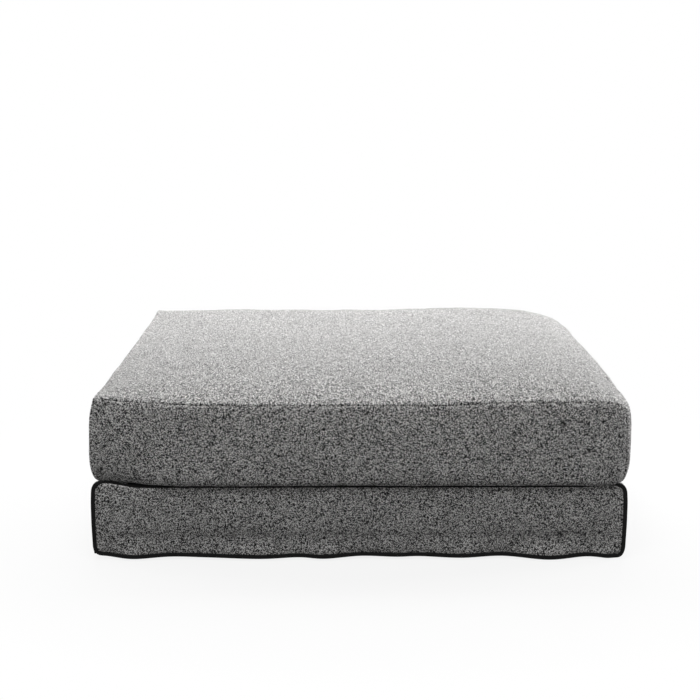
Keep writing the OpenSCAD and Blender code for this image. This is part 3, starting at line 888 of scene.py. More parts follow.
@dataclass
class Stuffing:
    """Cloth simulation of the cushion's cover under the pressure of its foam and fibre."""

    cells: int = 48
    rows: int = 9
    pressure: float = 4.0
    frames: int = 20
    quality: int = 8
    mass: float = 1.0
    damping: float = 3.0
    stiff: float = 200.0
    shear: float = 80.0
    bend: float = 20.0
    uneven: float = 1.1 * MM
    uneven_lengths: Triple = (170 * MM, 210 * MM, 150 * MM)
    seam_shrink: float = 0.006
    soft_rounds: int = 30
    gain: float = 0.14
    most: float = 3.5 * MM

    def cage(self, form: CushionShape) -> tuple[Array, Array, dict[str, Array], Array]:
        """Makes the welded coarse grid of the closed cover.

        Args:
            form: the cushion's plain form.

        Returns:
            The points, the quads, the point indices of each face, and the lattice place of each point.
        """
        n, m = self.cells, self.rows
        share, k = even(n), np.arange(n + 1)
        grids, keys, names = [], [], []
        level = np.arange(m + 1)
        for side in Side:
            grids.append(form.boxing(side, share, m + 1))
            along, up = np.meshgrid(k, level)
            back = n - along
            place = {Side.FRONT: (along, 0 * along), Side.RIGHT: (0 * along + n, along),
                Side.BACK: (back, 0 * along + n), Side.LEFT: (0 * along, back)}[side]
            keys.append(np.stack([*place, up], 2))
            names.append(side.name)
        y, x = np.meshgrid(k, k, indexing="ij")
        grids.append(form.top(share, share))
        keys.append(np.stack([x, y, 0 * x + m], 2))
        low = grids[0][0, 0, 2]
        reach = abs(grids[0][0, 0, 1])
        grids.append(np.stack([share[x] * reach, share[y] * reach, 0 * share[x] + low], 2))
        keys.append(np.stack([x, y, 0 * x], 2))
        names += ["TOP", "BOTTOM"]
        flat = np.concatenate([key.reshape(-1, 3) for key in keys])
        lattice, first, index = np.unique(flat, axis=0, return_index=True, return_inverse=True)
        index = index.ravel()
        points = np.concatenate([grid.reshape(-1, 3) for grid in grids])[first]
        quads, faces, skip = [], {}, 0
        for name, grid in zip(names, grids):
            rows, columns = grid.shape[:2]
            quads.append(index[grid_faces(rows, columns, skip)])
            faces[name] = index[skip:skip + rows * columns].reshape(rows, columns)
            skip += rows * columns
        return points, np.concatenate(quads), faces, lattice

    def run(self, form: CushionShape) -> dict[str, Array]:
        """Inflates the cover, and reads how each of its faces moved.

        Args:
            form: the cushion's plain form.

        Returns:
            Rows x columns x 3 shifts for each face.
        """
        points, quads, faces, lattice = self.cage(form)
        start = points.copy()
        x, y, z = points.T
        for axis, length in enumerate(self.uneven_lengths):
            start[:, axis] += self.uneven * swell(x + z, y - z, length, Seed.CAGE + axis) * (lattice[:, 2] > 0)
        made = make_object("cushion_cage", start, quads.tolist(), TWEED)
        n, m = self.cells, self.rows
        edge = [(lattice[:, a] == 0) | (lattice[:, a] == n) for a in (0, 1)]
        top_seam = (lattice[:, 2] == m) & (edge[0] | edge[1])
        seams = top_seam | (edge[0] & edge[1])
        for name, mask in (("held", lattice[:, 2] == 0), ("seams", seams)):
            made.vertex_groups.new(name=name).add(np.flatnonzero(mask).tolist(), 1.0, "REPLACE")
        cloth = made.modifiers.new("stuffing", "CLOTH")
        values = cloth.settings
        values.quality, values.mass, values.air_damping = self.quality, self.mass, self.damping
        values.tension_stiffness = values.compression_stiffness = self.stiff
        values.shear_stiffness, values.bending_stiffness = self.shear, self.bend
        values.use_pressure, values.uniform_pressure_force = True, self.pressure
        values.vertex_group_mass, values.vertex_group_shrink = "held", "seams"
        values.shrink_min, values.shrink_max = 0.0, self.seam_shrink
        values.effector_weights.gravity = 0
        cloth.collision_settings.use_collision = False
        cloth.point_cache.frame_start, cloth.point_cache.frame_end = 1, self.frames
        scene = bpy.context.scene
        for frame_number in range(1, self.frames + 1):
            scene.frame_set(frame_number)
        graph = bpy.context.evaluated_depsgraph_get()
        ended = made.evaluated_get(graph).data
        after = np.zeros(len(points) * 3)
        ended.vertices.foreach_get("co", after)
        scene.frame_set(1)
        bpy.data.objects.remove(made, do_unlink=True)
        shift = after.reshape(-1, 3) - points
        bulk = self.soften(shift, quads)
        folds = (shift - bulk) * self.gain
        size = np.maximum(np.linalg.norm(folds, axis=1, keepdims=True), 1e-9)
        folds *= self.most * np.tanh(size / self.most) / size
        log.info("stuffing: bulk %.1f mm, folds up to %.1f mm", abs(bulk).mean() / MM, size.max() / MM)
        return {name: folds[index] for name, index in faces.items()}

    def soften(self, shift: Array, quads: Array) -> Array:
        """The bulk of a movement: its mean over the cells around each point.

        Args:
            shift: how each point moved.
            quads: the faces.

        Returns:
            The softened movement.
        """
        pairs = np.concatenate([quads[:, [k, (k + 1) % 4]] for k in range(4)])
        pairs = np.concatenate([pairs, pairs[:, ::-1]])
        count = np.bincount(pairs[:, 0], minlength=len(shift))[:, None]
        for _ in range(self.soft_rounds):
            total = np.zeros_like(shift)
            np.add.at(total, pairs[:, 0], shift[pairs[:, 1]])
            shift = 0.5 * shift + 0.5 * total / count
        return shift


@dataclass
class Cushion:
    """The loose seat cushion: cover panels, zip, foam and fibre."""

    shape: CushionShape = field(default_factory=CushionShape)
    step: float = 7.5 * MM
    rim: tuple[float, ...] = (0.0, 0.8 * MM, 1.8 * MM, 3.2 * MM, 5.5 * MM, 9 * MM)
    rows: int = 44
    pucker: float = 0.45 * MM
    pucker_reach: float = 11 * MM
    pucker_lengths: tuple[float, float] = (21 * MM, 52 * MM)
    soft: float = 0.9 * MM
    soft_fine: float = 0.35 * MM
    soft_lengths: tuple[float, float] = (190 * MM, 55 * MM)
    lap: float = 0.4
    bottom_edge: float = 0.9 * MM
    bottom_soft: float = 0.25 * MM
    bottom_length: float = 160 * MM
    fibre_step: float = 20 * MM
    fibre_rim: tuple[float, ...] = (0.0, 2 * MM, 6 * MM, 12 * MM)
    fibre_low: float = 348.3 * MM
    fibre_least: float = 1 * MM
    fibre_in: float = 3.4 * MM
    fibre_down: float = 2.6 * MM
    fibre_edge_down: float = 3.2 * MM
    fibre_edge: float = 9 * MM

    def seam_relief(self, along: Array, distance: Array, seed: int) -> Array:
        """How far cloth lies below its plain form near a seam: the seam's groove, and small puckers across it.

        Args:
            along: place along the seam.
            distance: distance from the seam.
            seed: seed of the puckers.

        Returns:
            The depth, in metres.
        """
        form = self.shape
        groove = form.tuck * np.exp(-(distance / form.groove) ** 1.2)
        short, long = self.pucker_lengths
        pucker = swell(along, 0 * along, short, seed) + 0.7 * swell(along, 0 * along, long, seed + 1)
        return groove + self.pucker * pucker * fade(distance, self.pucker_reach)

    def panel(self, name: str, node: str, points: Array, weave: Array, sunk: Array,
              seed: int) -> Object:
        """Makes a panel of the cover from its plain form.

        Args:
            name: the piece's name.
            node: the node that it replaces.
            points: rows x columns x 3 points of the plain form.
            weave: rows x columns x 2 UV.
            sunk: how far each point lies below the plain form.
            seed: seed of the cloth's soft unevenness.

        Returns:
            The piece.
        """
        out = normals(points)
        middle = points.mean(axis=(0, 1)) - self.shape.centre * UP
        if out[out.shape[0] // 2, out.shape[1] // 2] @ middle < 0:
            out = -out
        a, b = weave[..., 0], weave[..., 1]
        long, short = self.soft_lengths
        soft = self.soft * swell(a, b, long, seed) + self.soft_fine * swell(a, b, short, seed + 5)
        calm = np.clip((self.shape.tuck - sunk) / self.shape.tuck, 0, 1)
        outer = self.shape.settle(points) + out * (soft * calm - sunk)[..., None]
        piece = layered(name, outer, weave, TWEED, self.shape.cloth, inwards=-out)
        return dress(piece, "cushion", node)

    def build_top(self) -> Object:
        """Makes the top panel, with its crown.

        Returns:
            The piece.
        """
        form = self.shape
        share = stations(form.half, self.step, self.rim)
        points = form.top(share, share)
        points[..., 2] += form.cloth * self.lap
        x, y = points[..., 0], points[..., 1]
        away = form.half * (1 - abs(share))
        sunk = np.maximum(self.seam_relief(y, away[None, :], Seed.TOP_SIDES),
            self.seam_relief(x, away[:, None], Seed.TOP_ENDS))
        weave = np.stack([y, x], 2)
        piece = self.panel("cushion_top_panel", "cushion_top", points, weave, sunk, Seed.TOP_CLOTH)
        return piece

    @staticmethod
    def unroll(side: Side, points: Array) -> tuple[Array, Array, Array]:
        """Lays a boxing out flat.

        Args:
            side: its side.
            points: its rows x columns x 3 points.

        Returns:
            Its UV, and the distances from its lower and upper edge.
        """
        flat = side.unturn(points)
        run = lengths(flat)
        return np.stack([flat[..., 0], run], 2), run - run[:1], run[-1:] - run

    def build_boxing(self, side: Side) -> Object:
        """Makes the boxing of the front, left or right.

        Args:
            side: which side.

        Returns:
            The piece.
        """
        form, turn = self.shape, side.value
        share = stations(form.half, self.step, self.rim)
        points = form.boxing(side, share, self.rows)
        weave, bottom, top = self.unroll(side, points)
        along, up = weave[..., 0], weave[..., 1]
        ends = form.half * (1 - abs(share))[None, :]
        sunk = np.maximum.reduce([self.seam_relief(along, top, Seed.BOXING_TOP + turn),
            self.seam_relief(along, bottom, Seed.BOXING_BOTTOM + turn),
            self.seam_relief(up, ends, Seed.BOXING_ENDS + turn)])
        node = f"boxing_{side.label}"
        piece = self.panel(node + "_panel", node, points, weave, sunk, Seed.BOXING_CLOTH + turn)
        return piece

    def build_back(self) -> list[Object]:
        """Makes the two back strips, straight along the zip.

        Returns:
            The lower and the upper strip.
        """
        form = self.shape
        share = stations(form.half, 2 * self.step, self.rim)
        whole = form.boxing(Side.BACK, share, 4 * self.rows)
        above = whole[:, len(share) // 2, 2] - form.zip_z
        ends, gap = form.half * (1 - abs(share))[None, :], form.zip_gap / 2
        made = []
        for name, keep, wide in (("lower", above < -gap, 0.101), ("upper", above > gap, 0.09)):
            points = whole[keep][::3]
            weave, *edges = self.unroll(Side.BACK, points)
            seam, fold = edges if name == "lower" else edges[::-1]
            sunk = np.maximum.reduce([self.seam_relief(weave[..., 0], seam, Seed.BACK_SEAM),
                self.seam_relief(weave[..., 1], ends, Seed.BACK_ENDS), 0.5 * MM * fade(fold, 1.5 * MM)])
            node = f"boxing_back_{name}"
            piece = self.panel(node + "_strip", node, points, weave, sunk, Seed.BACK_CLOTH)
            made.append(piece)
        return made

    def build_bottom(self) -> Object:
        """Makes the bottom panel, which lies flat on the deck.

        Returns:
            The piece.
        """
        form = self.shape
        half = form.half - form.roll - 0.2 * MM
        share = stations(half, 2 * self.step, self.rim)
        y, x = np.meshgrid(share * half, share * half, indexing="ij")
        away = np.minimum(half - abs(x), half - abs(y))
        soft = self.bottom_soft * (1 + swell(x, y, self.bottom_length, Seed.BOTTOM))
        lift = self.bottom_edge * fade(away, 2 * MM) + soft
        points = np.stack([x, y, form.low + lift], 2)
        piece = layered("cushion_bottom_panel", points, points[..., :2], TWEED, form.cloth, inwards=UP)
        dress(piece, "cushion", "cushion_bottom")
        return piece

    def build_fibre(self) -> Object:
        """Makes the fibre layer between the foam and the top panel, which it fills.

        Returns:
            The piece.
        """
        form = self.shape
        share = stations(form.half, self.fibre_step, self.fibre_rim)
        upper = form.settle(form.top(share, share))
        near = fade((1 - abs(share)) * form.half, self.fibre_edge)
        upper[..., 2] -= self.fibre_down + self.fibre_edge_down * np.maximum(near[:, None], near[None, :])
        upper[..., :2] *= 1 - self.fibre_in / form.half
        lower = upper.copy()
        lower[..., 2] = np.minimum(self.fibre_low, upper[..., 2] - self.fibre_least)
        piece = layered("fibre_upper_layer", upper, upper[..., :2], FIBRE, inner=lower)
        dress(piece, "cushion", "fibre_upper")
        return piece


# Base cover


@dataclass
class CoverShape:
    """Form of the base's loose cover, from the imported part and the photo."""

    half: float = 600 * MM
    deck: float = 172 * MM
    edge: float = 19 * MM
    cloth: float = 2 * MM
    trim_wide: float = 9 * MM
    trim_thick: float = 4 * MM
    proud: float = 1 * MM
    gap: float = 0.15 * MM
    hem: float = 7 * MM
    shoulder: float = 9 * MM
    raised: float = 6.8 * MM
    corner_puff: float = 11 * MM
    hem_round: float = 6 * MM
    held_low: float = 33 * MM
    held_high: float = 53 * MM
    band: float = 60 * MM
    corner_from: float = 566 * MM
    corner_to: float = 597 * MM
    corner_more: float = 5.6 * MM
    trim_in: float = 2.9 * MM
    drawn: float = 2.7 * MM
    drawn_high: float = 70 * MM
    hem_loose: float = 2.4 * MM
    loose_low: float = 6 * MM
    bulge: float = 1.4 * MM
    bulge_held: float = 38 * MM
    bulge_rise: tuple[float, float] = (22 * MM, 95 * MM)
    bulge_fall: tuple[float, float] = (128 * MM, 160 * MM)
    soft: float = 1.3 * MM
    soft_length: float = 150 * MM
    swing: float = 1.3
    hem_corner: float = 5.5 * MM
    wave_back: float = 2.0 * MM
    wave_length: float = 210 * MM
    wave_mean: float = 2.6 * MM
    wave_tilt: float = 1.3 * MM
    waves: tuple[tuple[float, float], ...] = ((-600, 7), (-582, 6.4), (-552, 0.8), (-506, -3.2), (-426, 1.6),
        (-346, 0.2), (-225, -2.9), (-138, 0.4), (-78, -2.5), (3, 3.2), (83, 1.4), (137, 2.7), (230, -0.5), (324, 3.4),
        (427, -4.1), (512, 2.3), (565, -1.1), (600, 0))

    def wave(self, side: Side, along: Array) -> Array:
        """How far the hem rises above its mean height along a side.

        Args:
            side: which side.
            along: place from left to right, seen from that side.

        Returns:
            The rise.
        """
        if side is Side.FRONT:
            line = curve_through(self.waves, 240) * MM
            return np.interp(along, line[:, 0], line[:, 1] - self.wave_mean - self.wave_tilt * line[:, 0] / self.half)
        held = 1 - np.clip(abs(along) / self.half, 0, 1) ** 10
        return self.wave_back * held * swell(along, 0 * along, self.wave_length, Seed.HEM + side.value)

    def inset(self, z: Array, along: Array | float) -> Array:
        """How far the cloth is drawn in at a height, by the tapes and by its loose hem.

        Args:
            z: the height.
            along: place along the side; the tapes hold less at its ends.

        Returns:
            The distance inside the base's half width.
        """
        held = 1 - smooth(abs(np.asarray(along)), 0.90 * self.half, 0.985 * self.half)
        drawn = self.drawn * (1 - smooth(z, self.held_high, self.drawn_high)) * held
        loose = self.hem_loose * (1 - smooth(z, self.loose_low, self.held_low))
        low, high = self.bulge_rise
        bulge = self.bulge * smooth(z, low + self.bulge_held * held, high) * (1 - smooth(z, *self.bulge_fall))
        return drawn + loose - bulge

    def out(self, side: Side, along: Array, z: Array) -> Array:
        """How far the cloth's face stands from the middle of the base.

        Args:
            side: which side.
            along: place from left to right, seen from that side.
            z: the height.

        Returns:
            The distance.
        """
        low = 1 - smooth(z, self.hem, self.held_low + 4 * MM)
        straight = 1 - smooth(abs(along), 0.92 * self.half, 0.97 * self.half)
        swing = -self.swing * self.wave(side, along) * low * straight
        ends = 1 - smooth(abs(along), 0.80 * self.half, 0.99 * self.half)
        high = smooth(z, 55 * MM, 90 * MM) * (1 - smooth(z, 125 * MM, 158 * MM))
        soft = self.soft * swell(along, z * 0.4, self.soft_length, Seed.FACE + side.value) * high * ends
        return self.half - self.inset(z, along) + swing + soft

    def cornered(self, along: Array) -> Array:
        """How much a place along the front or back belongs to its rounded corner, from 0 to 1."""
        return smooth(abs(along), self.corner_from, self.corner_to)

    def raise_top(self, along: Array, z: Array) -> Array:
        """Height, with the border's top line laid up over the rounded edge, most in its middle."""
        return z + self.raised * (1 - self.cornered(along)) * smooth(z, 110 * MM, 155 * MM)

    def puff(self, points: Array) -> Array:
        """Raises the top of the cover at its corners, where the cushion's round corners leave room for its padding.

        Args:
            points: points of the cover.

        Returns:
            The raised points.
        """
        x, y, z = np.moveaxis(points, -1, 0)
        high = self.corner_puff * (1 - 0.63 * np.maximum(smooth(x, -0.2, 0.2), smooth(y, -0.2, 0.2)))
        at_corner = smooth(abs(x), 490 * MM, 572 * MM) * smooth(abs(y), 540 * MM, 592 * MM)
        return np.stack([x, y, z + high * at_corner * smooth(z, 120 * MM, 168 * MM)], -1)

    def shore(self, along: Array) -> Array:
        """Half depth of the cloth on top of the base, up to the border's inner edge."""
        return self.half - self.shoulder - self.trim_in - self.gap + self.corner_more * self.cornered(along)

    def lay(self, side: Side, flat: Array, off: Array | float = 0.0) -> Array:
        """Lays the flat front or back panel on the base, over its rounded top edge.

        Args:
            side: front or back.
            flat: points along and up the cloth.
            off: how far the points stand off the cloth's face.

        Returns:
            The points in space.
        """
        along, up = flat[..., 0], flat[..., 1]
        start = self.deck - self.shoulder - self.proud
        turn = np.clip((up - start) / self.shoulder, 0, np.pi / 2)
        over = np.maximum(up - start - self.shoulder * np.pi / 2, 0)
        face = self.out(side, along, np.minimum(up, start))
        out = face - self.shoulder + (self.shoulder + off) * np.cos(turn) - over
        z = np.minimum(up, start) + (self.shoulder + off) * np.sin(turn)
        return self.puff(side.turn(np.stack([along + 0 * out, -out, z + 0 * out], -1)))

    def hem_height(self, side: Side, along: Array) -> Array:
        """Height of the hem's lower edge.

        Args:
            side: which side.
            along: place from left to right, seen from that side.

        Returns:
            The height.
        """
        height = self.hem + 0.8 * self.wave(side, along)
        if side in (Side.LEFT, Side.RIGHT):
            height += self.hem_corner * smooth(abs(along), 0.93 * self.half, 0.98 * self.half)
        return height

    def border(self, side: Side, step: float) -> tuple[Array, Array]:
        """Middle line of the loop of trim round the front or back panel.

        Args:
            side: front or back.
            step: the spacing of its points.

        Returns:
            The points along and up, and the outward directions in the panel's plane.
        """
        mid = self.trim_wide / 2
        low_r, high_r = self.hem_round + mid, self.edge - mid
        corner = self.half - float(self.inset(np.array(0.0), self.half)) - self.trim_wide - self.hem_round
        xs = np.linspace(-corner, corner, 120)
        bottom = np.stack([xs, self.hem_height(side, xs) + mid], 1)

        def end(sign: int) -> Array:
            """One end of the loop, from the hem up.

            Args:
                sign: 1 for the right end, -1 for the left one.

            Returns:
                Its points along and up.
            """
            turn = np.radians(np.linspace(-80, 0, 7))
            floor = self.hem_height(side, np.array(sign * corner)) + mid + low_r
            low_arc = np.stack([corner + low_r * np.cos(turn), floor + low_r * np.sin(turn)], 1)
            zs = np.linspace(floor + 3 * MM, self.deck - self.edge, 26)
            up = np.stack([self.half - self.inset(zs, self.half) - mid, zs], 1)
            turn = np.radians(np.linspace(10, 90, 12))
            high = self.deck - self.edge + high_r * np.sin(turn)
            high_arc = np.stack([self.half - self.edge + high_r * np.cos(turn), high], 1)
            return np.concatenate([low_arc, up, high_arc]) * (sign, 1)

        ring = np.concatenate([bottom, end(1), end(-1)[::-1], bottom[:1]])
        long = distances(ring)[-1]
        line = walk(ring, np.linspace(0, long, round(long / step), endpoint=False))
        for _ in range(2):
            line = 0.5 * line + 0.25 * (np.roll(line, 1, 0) + np.roll(line, -1, 0))
        line[:, 1] = self.raise_top(line[:, 0], line[:, 1])
        tangent = np.roll(line, -1, 0) - np.roll(line, 1, 0)
        tangent /= np.linalg.norm(tangent, axis=1, keepdims=True)
        return line, np.stack([tangent[:, 1], -tangent[:, 0]], 1)


@dataclass
class BaseCover:
    """The base's loose cover: four panels, the deck, the black trim and its stitches."""

    shape: CoverShape = field(default_factory=CoverShape)
    step: float = 6 * MM
    rim: tuple[float, ...] = (0, 1.5 * MM, 3.5 * MM, 6 * MM)
    strip_short: float = 8.3 * MM
    deck_step: float = 14 * MM
    deck_rim: tuple[float, ...] = (0, 1 * MM, 2.5 * MM, 5 * MM)
    deck_edge: float = 0.9 * MM
    deck_soft: float = 0.5 * MM
    deck_length: float = 240 * MM
    pad_step: float = 40 * MM
    pad_low: float = 146 * MM
    pad_high: float = 169.7 * MM
    pad_side_in: float = 2.3 * MM
    pad_end_in: float = 3.5 * MM
    pad_side_round: float = 16.7 * MM
    pad_end_round: float = 10 * MM
    stitch_in: float = 1.7 * MM
    stitch_out: float = 0.1 * MM
    stitch_pitch: float = 4.2 * MM
    stitch: Triple = (3.1 * MM, 0.5 * MM, 0.5 * MM)

    def build_end(self, side: Side, trim: Object) -> Object:
        """Makes the front or back panel inside its loop of trim.

        Args:
            side: front or back.
            trim: its loop of trim; not used.

        Returns:
            The piece.
        """
        form = self.shape
        share = stations(form.half, self.step, self.rim)
        inside = form.trim_wide + form.gap
        top = form.deck - form.edge
        rows = []
        for lift in np.concatenate([[0, 0.004, 0.012, 0.025], np.linspace(0.045, 1, 25)]):
            reach = form.half - inside
            for _ in range(3):
                low = form.hem_height(side, share * reach) + inside
                z = low + lift * (top - low)
                turn = np.maximum(form.hem_round - (z - low), 0)
                pinch = form.hem_round - np.sqrt(form.hem_round**2 - turn**2)
                reach = form.half - form.inset(z, form.half) - inside - pinch
            rows.append(np.stack([share * reach, z], 1))
        for turn in np.radians([15, 30, 45, 60, 75, 90]):
            reach = form.edge - inside
            rows.append(np.stack([share * (form.half - form.edge + reach * np.cos(turn)),
                top + reach * np.sin(turn) + 0 * share], 1))
        flat = np.stack(rows)
        x, z = flat[..., 0], flat[..., 1]
        rim = np.minimum(np.minimum(abs(z - z[:1]), abs(z - z[-1:])), form.half * (1 - abs(share))[None, :])
        flat = np.stack([x, form.raise_top(x, z)], 2)
        points = form.lay(side, flat, -0.7 * MM * fade(rim, 2.2 * MM))
        piece = layered(f"cover_{side.label}_panel", points, flat, TWEED, form.cloth)
        dress(piece, "base", f"cover_{side.label}")
        return piece

    def build_flank(self, side: Side, trim: Object) -> Object:
        """Makes a side panel, which rolls over the top edge and ends in a band on the deck.

        Args:
            side: left or right.
            trim: its strip of trim; not used.

        Returns:
            The piece.
        """
        form = self.shape
        share = stations(form.half, self.step, self.rim)
        reach = form.half - (form.trim_thick - form.proud) - form.gap
        top = form.deck - form.edge
        rows = []
        for lift in np.concatenate([[0, 0.012, 0.03], np.linspace(0.06, 1, 24)]):
            along = share * reach
            for _ in range(3):
                low = form.hem_height(side, along) + form.trim_wide + form.gap
                z = low + lift * (top - low)
                along = share * (reach - form.inset(z, form.half))
            rows.append(np.stack([along, -form.out(side, along, z), z], 1))
        end = form.half - form.edge
        for turn in np.radians(np.linspace(9, 90, 10)):
            z = top + form.edge * np.sin(turn)
            along = share * (reach - (reach - form.shore(end)) * smooth(z, 160 * MM, 167.5 * MM))
            rows.append(np.stack([along, 0 * share - (end + form.edge * np.cos(turn)), 0 * share + z], 1))
        for inward in np.concatenate([np.linspace(6, 54, 9), [57, 58.6, 59.5, 60]]) * MM:
            dip = 0.8 * MM * fade(form.band - inward, 1.6 * MM) + 1.1 * MM * fade(1 - abs(share), 3 * MM / form.half)
            rows.append(np.stack([share * form.shore(end - inward), 0 * share - (end - inward), form.deck - dip], 1))
        points = np.stack(rows)
        weave = np.stack([points[..., 0], lengths(points)], 2)
        piece = layered(f"cover_{side.label}_panel", form.puff(side.turn(points)), weave, TWEED, form.cloth)
        dress(piece, "base", f"cover_{side.label}")
        return piece

    def build_deck(self) -> Object:
        """Makes the deck panel under the cushion.

        Returns:
            The piece.
        """
        form = self.shape
        wide = form.half - form.edge - form.band - form.gap
        long = form.shore(0.0)
        u, v = [stations(reach, self.deck_step, self.deck_rim) for reach in (wide, long)]
        y, x = v[:, None] * form.shore(u * wide)[None, :], u[None, :] * wide + 0 * v[:, None]
        away = np.minimum(wide - abs(x), form.shore(x) - abs(y))
        soft = self.deck_soft * (1 + swell(x, y, self.deck_length, Seed.DECK))
        dip = self.deck_edge * fade(away, 2 * MM) + soft * smooth(away, 0, 60 * MM)
        points = np.stack([x, y, form.deck - dip], 2)
        piece = layered("cover_deck_panel", points, points[..., :2], LINING, form.cloth, inwards=-UP)
        dress(piece, "base", "cover_deck")
        return piece

    def build_pad(self) -> Object:
        """Makes the foam pad under the deck, rounded like the covers over it.

        Returns:
            The piece.
        """
        wide, long = self.shape.half - self.pad_side_in, self.shape.half - self.pad_end_in
        bend = 1 - np.cos(np.radians((30, 50, 70, 90)))
        u = stations(wide, self.pad_step, (0, *(self.pad_side_round * bend)))
        v = stations(long, self.pad_step, (0, *(self.pad_end_round * bend)))
        y, x = np.meshgrid(v * long, u * wide, indexing="ij")
        z = np.full_like(x, self.pad_high)
        for away, radius in ((wide - abs(x), self.pad_side_round), (long - abs(y), self.pad_end_round)):
            z -= radius - np.sqrt(np.maximum(radius**2 - np.maximum(radius - away, 0) ** 2, 0))
        upper = np.stack([x, y, np.maximum(z, self.pad_low + 1 * MM)], 2)
        lower = np.stack([x, y, 0 * x + self.pad_low], 2)
        piece = layered("deck_pad_foam", upper, upper[..., :2], FOAM, inner=lower)
        dress(piece, "base", "deck_pad")
        return piece

    def section(self) -> Array:
        """Section of the trim: across its width and through its thickness.

        Returns:
            Points across and out, round the section.
        """
        form = self.shape
        wide, face, back = form.trim_wide / 2, form.proud, form.proud - form.trim_thick
        soft, crown = 0.9 * MM, 0.1 * MM
        outer = np.array([(-wide, face - soft), (-wide + 0.35 * soft, face - 0.3 * soft), (-wide + soft, face),
            (-wide / 3, face + crown)])
        inner = np.array([(wide, back + soft), (wide - soft, back)])
        return np.concatenate([outer, outer[::-1] * (-1, 1), inner, inner[::-1] * (-1, 1)])

    def tape(self, side: Side, ring: Array, faces: list[list[int]], run: Array) -> Object:
        """Makes a piece of trim from its rings of points.

        Args:
            side: the panel's side.
            ring: rings x points of the section x 3 points.
            faces: its faces.
            run: place of each ring along the trim.

        Returns:
            The piece.
        """
        weave = np.stack(np.broadcast_arrays(run[:, None], self.section()[None, :, 0]), 2)
        piece = make_object(f"trim_{side.label}_tape", ring.reshape(-1, 3), faces, TRIM, weave.reshape(-1, 2))
        return dress(piece, "base", f"trim_{side.label}")

    def stitch_place(self) -> Array:
        """Place of the stitches across and out of the trim, as one row."""
        return np.array([[-self.shape.trim_wide / 2 + self.stitch_in, self.shape.proud + self.stitch_out]])

    def build_loop(self, side: Side) -> tuple[Object, Array]:
        """Makes the loop of trim round the front or back panel.

        Args:
            side: front or back.

        Returns:
            The piece, and the line of its stitches.
        """
        line, outward = self.shape.border(side, 3 * MM)

        def place(section: Array) -> Array:
            """Rings of points of the loop, at places across and out of it."""
            flat = line[:, None, :] + section[None, :, :1] * outward[:, None, :]
            return self.shape.lay(side, flat, section[None, :, 1])

        ring = place(self.section())
        rows, columns = ring.shape[:2]
        quads = grid_faces(rows + 1, columns, ring=True) % (rows * columns)
        piece = self.tape(side, ring, quads.tolist(), distances(ring[:, 0]))
        stitches = place(self.stitch_place())[:, 0]
        return piece, np.concatenate([stitches, stitches[:1]])

    def build_strip(self, side: Side) -> tuple[Object, Array]:
        """Makes the strip of trim on the hem of a side panel.

        Args:
            side: left or right.

        Returns:
            The piece, and the line of its stitches.
        """
        form = self.shape
        reach = form.half - (form.trim_thick - form.proud) - form.gap - self.strip_short
        along = even(340) * reach
        mid = form.hem_height(side, along) + form.trim_wide / 2

        def place(section: Array) -> Array:
            """Rings of points of the strip.

            Args:
                section: places across and out of it.

            Returns:
                rings x places x 3 points.
            """
            z = mid[:, None] - section[None, :, 0]
            face = form.out(side, along[:, None], z)
            return side.turn(np.stack([along[:, None] + 0 * z, -(face + section[None, :, 1]), z], 2))

        ring = place(self.section())
        rows, columns = ring.shape[:2]
        ends = np.arange(rows * columns).reshape(rows, columns)[[0, -1]]
        piece = self.tape(side, ring, grid_faces(rows, columns, ring=True).tolist() + ends.tolist(), along)
        return piece, place(self.stitch_place())[:, 0]

    def build_stitches(self, lines: Sequence[Array]) -> Object:
        """Makes the rows of stitches along the trims."""
        stitching = Scatter("stitching", self.stitch_pitch, self.stitch, THREAD)
        return dress(stitching.build("trim_stitches", lines), "base")


# Repeated details, made by Geometry Nodes


